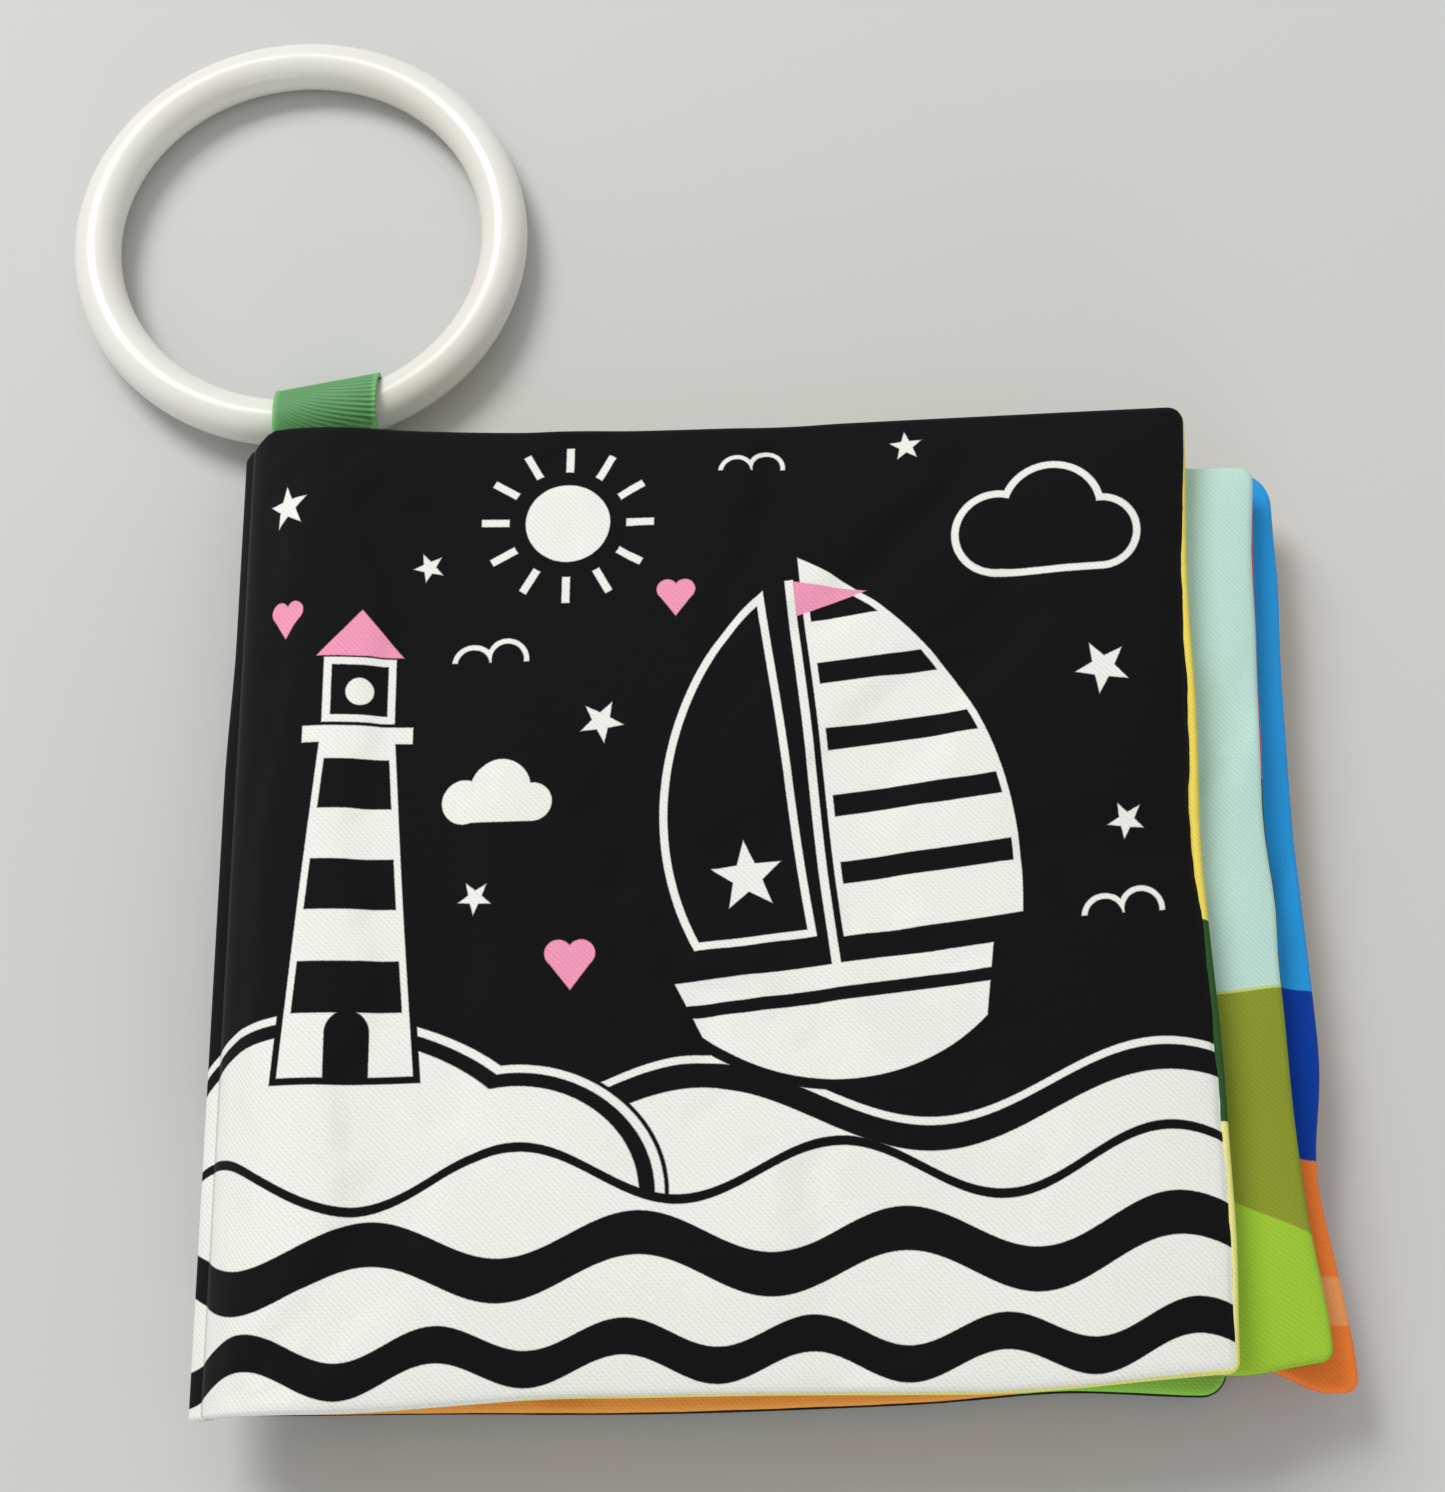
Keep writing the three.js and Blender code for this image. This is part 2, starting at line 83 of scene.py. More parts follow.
# The leaves from the floor up. A leaf leaves the stitch line at the angle "exit". Each edge lies so far
# outside the page at its ends and is drawn in between them by its waist. A bend is a place along an edge
# and its width, as shares of the edge, and how far it stands out. A roll says how far the seam has crept
# onto the upper face, by places along the edge. The corners are the radii at the bottom and at the top.
LEAVES = [
    {
        "name": "back_cover", "lower": "outer_cloth", "upper": "inner_cloth",
        "exit": -68, "cut": RESTING_CUT,
        "fore_top": 0, "fore_bottom": -0.5, "fore_waist": 1, "fore_bends": (),
        "spine_top": 0.3, "edge_top": -0.5, "top_waist": 1, "spine_bottom": 1.3, "edge_bottom": 0.1,
        "bottom_bends": ((0.84, 0.1, -0.85), (0.45, 0.2, 0.5)),
        "fore_roll": ((0, 0.2), (0.5, 0.3), (1, 0.05)), "bottom_roll": ((0, 0.05), (0.5, 0.2), (1, 0.2)),
        "corners": (3, 2.2), "spine_corner": 1, "hollow": 0, "seed": 5,
    },
    {
        "name": "leaf_3", "lower": "back_cloth", "upper": "front_cloth", "exit": -28, "cut": 0,
        "fore_top": 10.2, "fore_bottom": 11.2, "fore_waist": 0.9,
        "fore_bends": ((0.22, 0.08, -1.1), (0.02, 0.08, 0.8), (0.32, 0.07, 0.5), (0.42, 0.08, 0.35),
                       (0.86, 0.06, 0.3)),
        "spine_top": -5, "edge_top": -3.5, "top_waist": 0.5, "spine_bottom": -1.8, "edge_bottom": -0.1,
        "bottom_bends": (),
        "fore_roll": ((0, 0.05), (0.3, 0.02), (0.6, 0.1), (0.9, 0.16), (1, 0.02)),
        "bottom_roll": ((0, 0.05), (1, 0.05)),
        "corners": (1.5, 4.2), "spine_corner": 0.6, "hollow": 2.3, "seed": 3,
    },
    {
        "name": "leaf_2", "lower": "back_cloth", "upper": "front_cloth", "exit": 28, "cut": 0,
        "fore_top": 6.7, "fore_bottom": 8, "fore_waist": 2.2,
        "fore_bends": ((1, 0.08, 0.35), (0.73, 0.2, 0.45), (0.49, 0.055, 0.55), (0.38, 0.1, 0.45),
                       (0.04, 0.07, 0.5)),
        "spine_top": -5.2, "edge_top": -5.2, "top_waist": 0.5, "spine_bottom": -2.3, "edge_bottom": -2.3,
        "bottom_bends": ((1, 0.04, -0.6), (0.915, 0.045, 0.7)),
        "fore_roll": ((0, 0.05), (0.3, 0.12), (0.5, 0.25), (0.68, 0.3), (0.8, 0.1), (0.9, 0.35),
                      (0.97, 0.02)),
        "bottom_roll": ((0, 0.02), (1, 0.02)),
        "corners": (1.6, 1.8), "spine_corner": 0.6, "hollow": 0, "seed": 11,
    },
    {
        "name": "front_cover", "lower": "inner_cloth", "upper": "outer_cloth", "exit": 68, "cut": 0,
        "fore_top": -1.3, "fore_bottom": -2.4, "fore_waist": 0.2,
        "fore_bends": ((0.79, 0.12, -0.6), (0.52, 0.13, -0.6), (0.28, 0.1, 0.35), (0.13, 0.09, 0.5)),
        "spine_top": 0.3, "edge_top": 0, "top_waist": 2.9, "spine_bottom": 1.9, "edge_bottom": -1.7,
        "bottom_bends": ((0.15, 0.08, 0.3), (0.34, 0.07, -0.25), (0.62, 0.13, 0.3), (0.79, 0.14, 1)),
        "fore_roll": ((0, 0.55), (0.1, 0.75), (0.3, 0.95), (0.42, 0.8), (0.52, 1.35), (0.62, 1.1),
                      (0.72, 1.05), (0.8, 0.8), (1, 0.15)),
        "bottom_roll": ((0, 0.005), (0.3, 0.01), (0.42, 0.2), (0.9, 0.28), (1, 0.55)),
        "corners": (1.2, 2.1), "spine_corner": 2.2, "hollow": 0, "seed": 8,
    },
]

SPINE_X = -PAGE_WIDTH / 2
PAGE_BOTTOM = -PAGE_HEIGHT / 2
PAGE_TOP = PAGE_HEIGHT / 2
CROWN = LEAF_THICKNESS / 2
for index, leaf in enumerate(LEAVES):
    leaf["height"] = CROWN - RESTING_CUT + index * (LEAF_THICKNESS + LEAF_GAP)
STITCH_HEIGHT = (LEAVES[-1]["height"] + CROWN) / 2


# Outline of a leaf, seen from above

SPINE_CORNER_REACH = 3
HOLLOW_START_SHARE = 0.5
HOLLOW_END = 109
HOLLOW_FADE = 6.6
LINE_POINTS = 200
EDGE_POINTS = 9


def lerp(a, b, share):
    return a + (b - a) * share


def quarter_round(share):
    return np.sqrt(1 - (1 - np.clip(share, 0, 1)) ** 2)


def soft_step(share):
    return np.sin(np.pi / 2 * np.clip(share, 0, 1)) ** 2


def bell(share):
    return np.exp(-share ** 2)


def bezier(t, points):
    shares = ((1 - t) ** 3, 3 * t * (1 - t) ** 2, 3 * t ** 2 * (1 - t), t ** 3)
    return sum(share * point for share, point in zip(shares, points))


def lengths_along(points):
    steps = np.linalg.norm(np.diff(points, axis=0), axis=1)
    return np.concatenate([[0], np.cumsum(steps)])


def bends(leaf, side, share):
    return sum(out * bell((share - centre) / width) for centre, width, out in leaf[side])


def leaf_top(leaf, x):
    x = np.asarray(x)
    share = x / (PAGE_WIDTH + leaf["fore_top"])
    waist = leaf["top_waist"] * np.sin(np.pi * np.clip(share, 0, 1) ** WAIST_SKEW_SHARE)
    spine_corner = leaf["spine_corner"] * np.maximum(1 - x / SPINE_CORNER_REACH, 0)
    return PAGE_TOP + lerp(leaf["spine_top"], leaf["edge_top"], share) - waist - spine_corner


def leaf_bottom(leaf, x):
    x = np.asarray(x)
    share = x / (PAGE_WIDTH + leaf["fore_bottom"])
    fade = 1 - soft_step((x - HOLLOW_END) / HOLLOW_FADE)
    drawn_in = leaf["hollow"] * np.clip(share, HOLLOW_START_SHARE, 1) * fade
    down = lerp(leaf["spine_bottom"], leaf["edge_bottom"], share) + bends(leaf, "bottom_bends", share)
    return PAGE_BOTTOM - down + drawn_in


def fore_edge(leaf, share):
    waist = leaf["fore_waist"] * np.sin(np.pi * np.clip(share, 0, 1))
    out = lerp(leaf["fore_bottom"], leaf["fore_top"], share) - waist + bends(leaf, "fore_bends", share)
    return PAGE_WIDTH + out


def middle_line(leaf):
    """A leaf's middle line from the stitch line to where it lies flat: length, points and direction."""
    leave = math.radians(leaf["exit"])
    rise = leaf["height"] - STITCH_HEIGHT
    way = np.array([math.cos(leave), math.sin(leave)])
    lead = CLIMB_LEAD_SHARE * (rise / math.sin(leave) - LEAF_START)
    ends = (way * LEAF_START, way * (LEAF_START + lead),
            np.array([CLIMB_WIDTH - CLIMB_LEAD_WIDTH, rise]), np.array([CLIMB_WIDTH, rise]))
    points = bezier(np.linspace(0, 1, LINE_POINTS)[:, None], ends)
    length = LEAF_START + lengths_along(points)
    tangent = np.gradient(points, axis=0)
    tangent /= np.linalg.norm(tangent, axis=1)[:, None]
    return length, points, tangent


for leaf in LEAVES:
    leaf["line"] = middle_line(leaf)
    leaf["bend"] = leaf["line"][0][-1]
    reach = np.mean(fore_edge(leaf, np.linspace(0, 1, EDGE_POINTS)))
    leaf["width"] = leaf["bend"] + float(reach) - CLIMB_WIDTH
    leaf["tall"] = float(leaf_top(leaf, PAGE_WIDTH / 2) - leaf_bottom(leaf, PAGE_WIDTH / 2))


def place(leaf, x, y, offset):
    """Points in the part's frame for places on a leaf's flat pattern, offset from its middle line."""
    length, points, tangent = leaf["line"]
    share = y / leaf["tall"]
    reach = leaf["bend"] + fore_edge(leaf, share) - CLIMB_WIDTH
    along = x * reach / leaf["width"]
    line_x, rise, tangent_x, tangent_z = (
        np.interp(along, length, column) for column in (*points.T, *tangent.T))
    out = line_x + np.maximum(along - leaf["bend"], 0)
    across = lerp(leaf_bottom(leaf, out), leaf_top(leaf, out), share)
    return np.stack([SPINE_X + out - tangent_z * offset, across,
                     STITCH_HEIGHT + rise + tangent_x * offset], -1)


def off_spine(x, reach):
    return soft_step((x - LEAF_START) / reach)


def from_open_edge(leaf, x, y):
    return np.minimum(np.minimum(leaf["width"] - x, y), leaf["tall"] - y)


def half_thickness(leaf, x, y, edge):
    spine = off_spine(x, SPINE_ROLL)
    seam = lerp(SPINE_SEAM_THICKNESS, SEAM_THICKNESS, spine) / 2
    roll = spine
    for distance in (leaf["width"] - x, y, leaf["tall"] - y):
        roll = roll * quarter_round(distance / EDGE_ROLL)
    return seam * quarter_round(edge / seam) + (CROWN - SEAM_THICKNESS / 2) * roll


# Meshes

def add_object(name, data):
    thing = bpy.data.objects.new(name, data)
    bpy.context.scene.collection.objects.link(thing)
    return thing


def make_object(name, points, faces, material):
    mesh = bpy.data.meshes.new(name)
    mesh.from_pydata((np.asarray(points, float).reshape(-1, 3) * MM).tolist(), [], faces)
    mesh.materials.append(material)
    mesh.shade_smooth()
    mesh.update()
    return add_object(name, mesh)


def grid_faces(index, turned=False):
    """Four-sided faces between a grid's points, given by their numbers."""
    corners = [index[:-1, :-1], index[:-1, 1:], index[1:, 1:], index[1:, :-1]]
    if turned:
        corners.reverse()
    return np.stack(corners, -1).reshape(-1, 4).tolist()


def numbered(shape, first=0):
    return first + np.arange(shape[0] * shape[1]).reshape(shape)


def store(piece, name, values):
    """Keeps a vector for each vertex, for the shaders."""
    layer = piece.data.attributes.new(name, "FLOAT_VECTOR", "POINT")
    layer.data.foreach_set("vector", np.asarray(values, np.float32).ravel())


def solidify(piece, thickness):
    shell = piece.modifiers.new("thickness", "SOLIDIFY")
    shell.thickness = thickness * MM
    shell.offset = -1


def closed_slab(name, upper, lower, material):
    """Joins two grids of points at their edges into one closed body."""
    index = numbered(upper.shape[:2])
    count = index.size
    faces = grid_faces(index) + grid_faces(index + count, turned=True)
    rim = np.concatenate([index[0, :-1], index[:-1, -1], index[-1, :0:-1], index[:0:-1, 0]])
    after = np.roll(rim, -1)
    faces += np.stack([rim, rim + count, after + count, after], -1).tolist()
    return make_object(name, np.concatenate([upper.reshape(-1, 3), lower.reshape(-1, 3)]), faces, material)


def tube(name, middles, across, up, material, sides):
    """A tube round a line of points; across and up are its half axes at each point."""
    turn = np.linspace(0, 2 * np.pi, sides, endpoint=False)
    points = (middles[:, None] + across[:, None] * np.cos(turn)[None, :, None]
              + up[:, None] * np.sin(turn)[None, :, None])
    index = numbered((len(middles), sides))
    around = np.concatenate([index, index[:, :1]], 1)
    faces = grid_faces(around) + [index[0, ::-1].tolist(), index[-1].tolist()]
    return make_object(name, points, faces, material)


def stand_in(piece, body, node):
    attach(piece, body)
    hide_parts(node)


# The flat pattern of a cloth: rows and columns lie close together round its edges

FINE = 1.1
ROUND_STEPS = (0, 15, 30, 45, 60, 75)
NEAR_EDGE = (0.95, 1.3, 1.8, 2.5, 3.4)
BAND_SHARES = (1, 0.75, 0.5, 0.25, 0.08)


def cloth_pattern(leaf, wraps):
    """Grids of nominal distances from the fore-edge and from the bottom edge. Below zero is the band
    that wraps round the edge, in shares of the band's width."""
    radius = SEAM_THICKNESS / 2
    near = [radius * (1 - math.cos(math.radians(a))) for a in ROUND_STEPS] + [radius, *NEAR_EDGE]
    band = [-share for share in BAND_SHARES] if wraps else []
    inner = near[-1]
    columns = np.arange(LEAF_START, leaf["width"] - inner, FINE)
    from_fore = np.concatenate([leaf["width"] - columns, near[::-1], band[::-1]])
    middle = np.linspace(inner, leaf["tall"] - inner, int((leaf["tall"] - 2 * inner) / FINE))[1:-1]
    low = np.array(band + near)
    rows = np.concatenate([low, middle, leaf["tall"] - low[::-1]])
    return np.meshgrid(from_fore, rows)


TOP_ROLL = 0.002
ROLL_RIPPLE = 0.07
# Each ripple's rate along the edge, its height, and how far a leaf's seed shifts it
RIPPLES = ((0.71, 1, 1), (0.23, 0.6, 0), (1.9, 0.5, 0))


def seam_roll(leaf, x, y, from_fore, from_end):
    """How far the seam lies from the edge, on the upper face."""
    fore = np.interp(y / leaf["tall"], *zip(*leaf["fore_roll"]))
    bottom = np.interp(x / leaf["width"], *zip(*leaf["bottom_roll"]))
    end = np.where(y > leaf["tall"] / 2, TOP_ROLL, bottom)
    roll = np.where(from_fore < from_end, fore, end)
    ripple = sum(high * np.sin((x + y) * rate + shift * leaf["seed"]) for rate, high, shift in RIPPLES)
    return np.maximum(roll * (1 + ROLL_RIPPLE * ripple), TOP_ROLL)


GROOVE_DEPTH_SHARE = 0.3
GROOVE_LIMIT_SHARE = 0.4
GROOVE_WIDTH = 0.4
ROLL_FADE = 6
SHIFT_FADE = 20


def cloth_places(leaf, wraps):
    """Where each vertex of a cloth lies: x, y, distance to the edge, whether it is on the upper face, and
    how far the seam has crept there."""
    from_fore, y = cloth_pattern(leaf, wraps)
    upper_half = y > leaf["tall"] / 2
    from_end = np.where(upper_half, leaf["tall"] - y, y)
    nearest = np.minimum(from_fore, from_end)
    beyond = np.maximum(from_fore, from_end) - nearest
    roll = seam_roll(leaf, leaf["width"] - from_fore, y, from_fore, from_end)
    if wraps:
        edge = np.where(nearest < 0, nearest * roll, nearest)
        on_top = nearest < 0
    else:
        edge = nearest + roll * np.clip(1 - nearest / ROLL_FADE, 0, 1)
        on_top = np.ones_like(nearest, bool)
    edge = np.abs(edge)
    bottom_corner, top_corner = leaf["corners"]
    radius = np.maximum(np.where(upper_half, top_corner, bottom_corner) - edge, TINY)
    angle = np.pi / 4 * np.clip(1 - beyond / radius, 0, 1)
    inside = beyond < radius
    shift = (edge - nearest) * np.clip(1 - (beyond - radius) / SHIFT_FADE, 0, 1)
    along = np.where(inside, edge + radius * (1 - np.sin(angle)), nearest + beyond + shift)
    away = edge + np.where(inside, radius * (1 - np.cos(angle)), 0)
    fore_is_far = from_fore > from_end
    from_fore = np.where(fore_is_far, along, away)
    from_end = np.where(fore_is_far, away, along)
    y = np.where(upper_half, leaf["tall"] - from_end, from_end)
    return leaf["width"] - from_fore, y, edge, on_top, roll


def surface(leaf, x, y, edge, on_top, roll=None, under=0.0):
    """The face of a leaf, or a layer that lies so far under it."""
    half = half_thickness(leaf, x, y, edge) - leaf["relief"](x, y, on_top)
    if roll is not None:
        groove = np.minimum(GROOVE_DEPTH_SHARE * roll, half * GROOVE_LIMIT_SHARE)
        half = half - np.where(on_top, groove * bell((edge - roll) / GROOVE_WIDTH), 0)
    below = np.minimum(half, CROWN - leaf["cut"])
    offset = np.where(on_top, half - under, under - below) + leaf["lift"](x, y)
    return place(leaf, x, y, np.maximum(offset, leaf["cut"] - CROWN))


# How the filled leaf puckers and waves: a flat bag is blown up as cloth, and the small folds that it
# takes are laid on the leaf's own form

BAG_STEP = 2.1
BAG_FRAMES = 22
BAG_ROUGHNESS = 0.05
BAG_CLOTH = {
    "quality": 6, "mass": 0.15, "tension_stiffness": 12, "compression_stiffness": 12,
    "shear_stiffness": 6, "bending_stiffness": 0.08, "use_pressure": True, "uniform_pressure_force": 5,
    "vertex_group_pressure": "pushed", "vertex_group_mass": "held", "vertex_group_shrink": "gathered",
    "shrink_min": -0.02, "shrink_max": 0.035,
}
HELD_STEPS = 1.5
GATHER_REACH = 7
GATHER_CELLS = 14
FILL_CELLS = 5
LEAST_FILL = 0.5
FOLD_BLUR = 9
FOLD_SHARE = 0.55
FOLD_ROOM = 0.28
FOLD_LIMIT = 0.6
FOLD_EDGE_FADE = 3
FOLD_SPINE_FADE = 8
WAVE_BLUR = 1.6
WAVE_LIMIT = 0.35


def cubic_shares(t):
    return (t * ((2 - t) * t - 1) / 2, (t * t * (3 * t - 5) + 2) / 2,
            t * ((4 - 3 * t) * t + 1) / 2, (t - 1) * t * t / 2)


def sample(grid, rows, columns):
    """Reads a grid between its points, without corners."""
    row, column = np.floor(rows).astype(int), np.floor(columns).astype(int)
    total = np.zeros(np.shape(rows))
    for row_step, row_share in enumerate(cubic_shares(rows - row)):
        row_index = np.clip(row + row_step - 1, 0, grid.shape[0] - 1)
        for column_step, column_share in enumerate(cubic_shares(columns - column)):
            column_index = np.clip(column + column_step - 1, 0, grid.shape[1] - 1)
            total = total + row_share * column_share * grid[row_index, column_index]
    return total


def smooth_noise(random, shape, cells):
    """Random numbers from 0 to 1 that change slowly over a grid."""
    coarse = random.uniform(0, 1, (cells + 3, cells + 3))
    rows = np.linspace(1, cells, shape[0])[:, None] * np.ones(shape)
    columns = np.linspace(1, cells, shape[1])[None, :] * np.ones(shape)
    return np.clip(sample(coarse, rows, columns), 0, 1)


def blurred(grid, reach):
    """A grid with everything smaller than the reach smoothed away; reach is in grid steps."""
    steps = np.arange(-int(2 * reach), int(2 * reach) + 1)
    weights = bell(steps / reach)
    weights /= weights.sum()
    padding = len(steps) // 2
    for _ in range(2):
        padded = np.pad(grid, ((0, 0), (padding, padding)), mode="reflect", reflect_type="odd")
        grid = np.stack([np.convolve(row, weights, mode="valid") for row in padded]).T
    return grid


def blown_bag(leaf):
    """The heights of a bag's upper and lower face after it is filled, by place on the flat pattern."""
    random = np.random.default_rng(leaf["seed"])
    columns = int((leaf["width"] - LEAF_START) / BAG_STEP) + 1
    rows = int(leaf["tall"] / BAG_STEP) + 1
    x, y = np.meshgrid(np.linspace(LEAF_START, leaf["width"], columns), np.linspace(0, leaf["tall"], rows))
    from_edge = from_open_edge(leaf, x, y)
    puff = quarter_round(from_edge / EDGE_ROLL) * off_spine(x, SPINE_ROLL) * CROWN
    puff = puff + random.uniform(-BAG_ROUGHNESS, BAG_ROUGHNESS, x.shape)
    rim = (from_edge <= TINY) | (x <= LEAF_START + TINY)
    upper = numbered(x.shape)
    lower = np.where(rim, upper, 0)
    lower[~rim] = x.size + np.arange((~rim).sum())
    heights = np.where(rim, 0, puff)
    points = np.concatenate([np.stack([x, y, heights], -1).reshape(-1, 3),
                             np.stack([x, y, -heights], -1)[~rim]])
    mesh = bpy.data.meshes.new("bag")
    mesh.from_pydata((points * MM).tolist(), [], grid_faces(upper) + grid_faces(lower, turned=True))
    bag = add_object("bag", mesh)
    gathered, held, pushed = (bag.vertex_groups.new(name=name) for name in ("gathered", "held", "pushed"))
    near_seam = np.clip(1 - from_edge / GATHER_REACH, 0, 1) * smooth_noise(random, x.shape, GATHER_CELLS)
    fill = lerp(LEAST_FILL, 1, smooth_noise(random, x.shape, FILL_CELLS))
    for grid in (upper, lower):
        for vertex, gather, push, start in zip(grid.ravel(), near_seam.ravel(), fill.ravel(), x.ravel()):
            gathered.add([int(vertex)], float(gather), "REPLACE")
            pushed.add([int(vertex)], float(push), "REPLACE")
            if start < LEAF_START + HELD_STEPS * BAG_STEP:
                held.add([int(vertex)], 1.0, "REPLACE")
    cloth = bag.modifiers.new("fill", "CLOTH")
    for name, value in BAG_CLOTH.items():
        setattr(cloth.settings, name, value)
    cloth.settings.effector_weights.gravity = 0
    cloth.collision_settings.use_collision = False
    cloth.point_cache.frame_start = 1
    cloth.point_cache.frame_end = BAG_FRAMES
    scene = bpy.context.scene
    for now in range(1, BAG_FRAMES + 1):
        scene.frame_set(now)
    blown = bag.evaluated_get(bpy.context.evaluated_depsgraph_get()).data
    result = np.empty(len(points) * 3, np.float32)
    blown.vertices.foreach_get("co", result)
    heights = result.reshape(-1, 3)[:, 2] / MM
    scene.frame_set(1)
    bpy.data.objects.remove(bag)
    bpy.data.meshes.remove(mesh)
    return heights[upper], heights[lower]


def fill_leaf(leaf):
    """Adds to a leaf how far its faces lie under their full height, and how its middle waves."""
    upper, lower = blown_bag(leaf)
    reach = FOLD_BLUR / BAG_STEP
    folds = [side * (height - blurred(height, reach)) for side, height in ((1, upper), (-1, lower))]
    middle = (upper + lower) / 2
    middle = blurred(middle, WAVE_BLUR) - blurred(middle, 2 * reach)

    def read(grid, x, y):
        return sample(grid, y / leaf["tall"] * (grid.shape[0] - 1),
                      (x - LEAF_START) / (leaf["width"] - LEAF_START) * (grid.shape[1] - 1))

    def relief(x, y, on_top):
        fold = np.where(on_top, read(folds[0], x, y), read(folds[1], x, y))
        share = soft_step(from_open_edge(leaf, x, y) / FOLD_EDGE_FADE) * off_spine(x, FOLD_SPINE_FADE)
        return share * np.clip(FOLD_ROOM - FOLD_SHARE * fold, 0, FOLD_LIMIT)

    def lift(x, y):
        share = (1 - quarter_round(from_open_edge(leaf, x, y) / EDGE_ROLL)) * off_spine(x, SPINE_ROLL)
        return share * WAVE_LIMIT * np.tanh(read(middle, x, y) / WAVE_LIMIT)

    leaf["relief"] = relief
    leaf["lift"] = lift


for leaf in LEAVES:
    fill_leaf(leaf)


# Shader sums

def rgb(red, green, blue):
    """A colour given in screen numbers, for a shader."""
    share = np.array([red, green, blue]) / 255
    linear = np.where(share <= 0.04045, share / 12.92, ((share + 0.055) / 1.055) ** 2.4)
    return (*[float(v) for v in linear], 1.0)


class Field:
    """A number that a shader works out at each point. On a page, ink lies where a field is below zero."""

    def __init__(self, tree, socket):
        self.tree = tree
        self.socket = socket

    def run(self, operation, *others):
        node = self.tree.nodes.new("ShaderNodeMath")
        node.operation = operation
        for slot, value in zip(node.inputs, (self, *others)):
            if isinstance(value, Field):
                self.tree.links.new(value.socket, slot)
            else:
                slot.default_value = value
        return Field(self.tree, node.outputs[0])

    def __add__(self, other):
        return self.run("ADD", other)

    def __sub__(self, other):
        return self.run("SUBTRACT", other)

    def __mul__(self, other):
        return self.run("MULTIPLY", other)

    def __neg__(self):
        return self.run("MULTIPLY", -1)

    def __abs__(self):
        return self.run("ABSOLUTE")

    def __or__(self, other):
        return self.run("MINIMUM", other)

    def __and__(self, other):
        return self.run("MAXIMUM", other)

    def cut(self, other):
        return self & -other

    def sine(self):
        return self.run("SINE")

    def clamped(self, low, high):
        return self.run("MAXIMUM", low).run("MINIMUM", high)


def union(*fields):
    shape = fields[0]
    for field in fields[1:]:
        shape = shape | field
    return shape


def outline(field, width):
    return abs(field) - width / 2


def stripes(field, pitch, width):
    return outline((field * (1 / pitch)).run("PINGPONG", 0.5) * pitch, width)


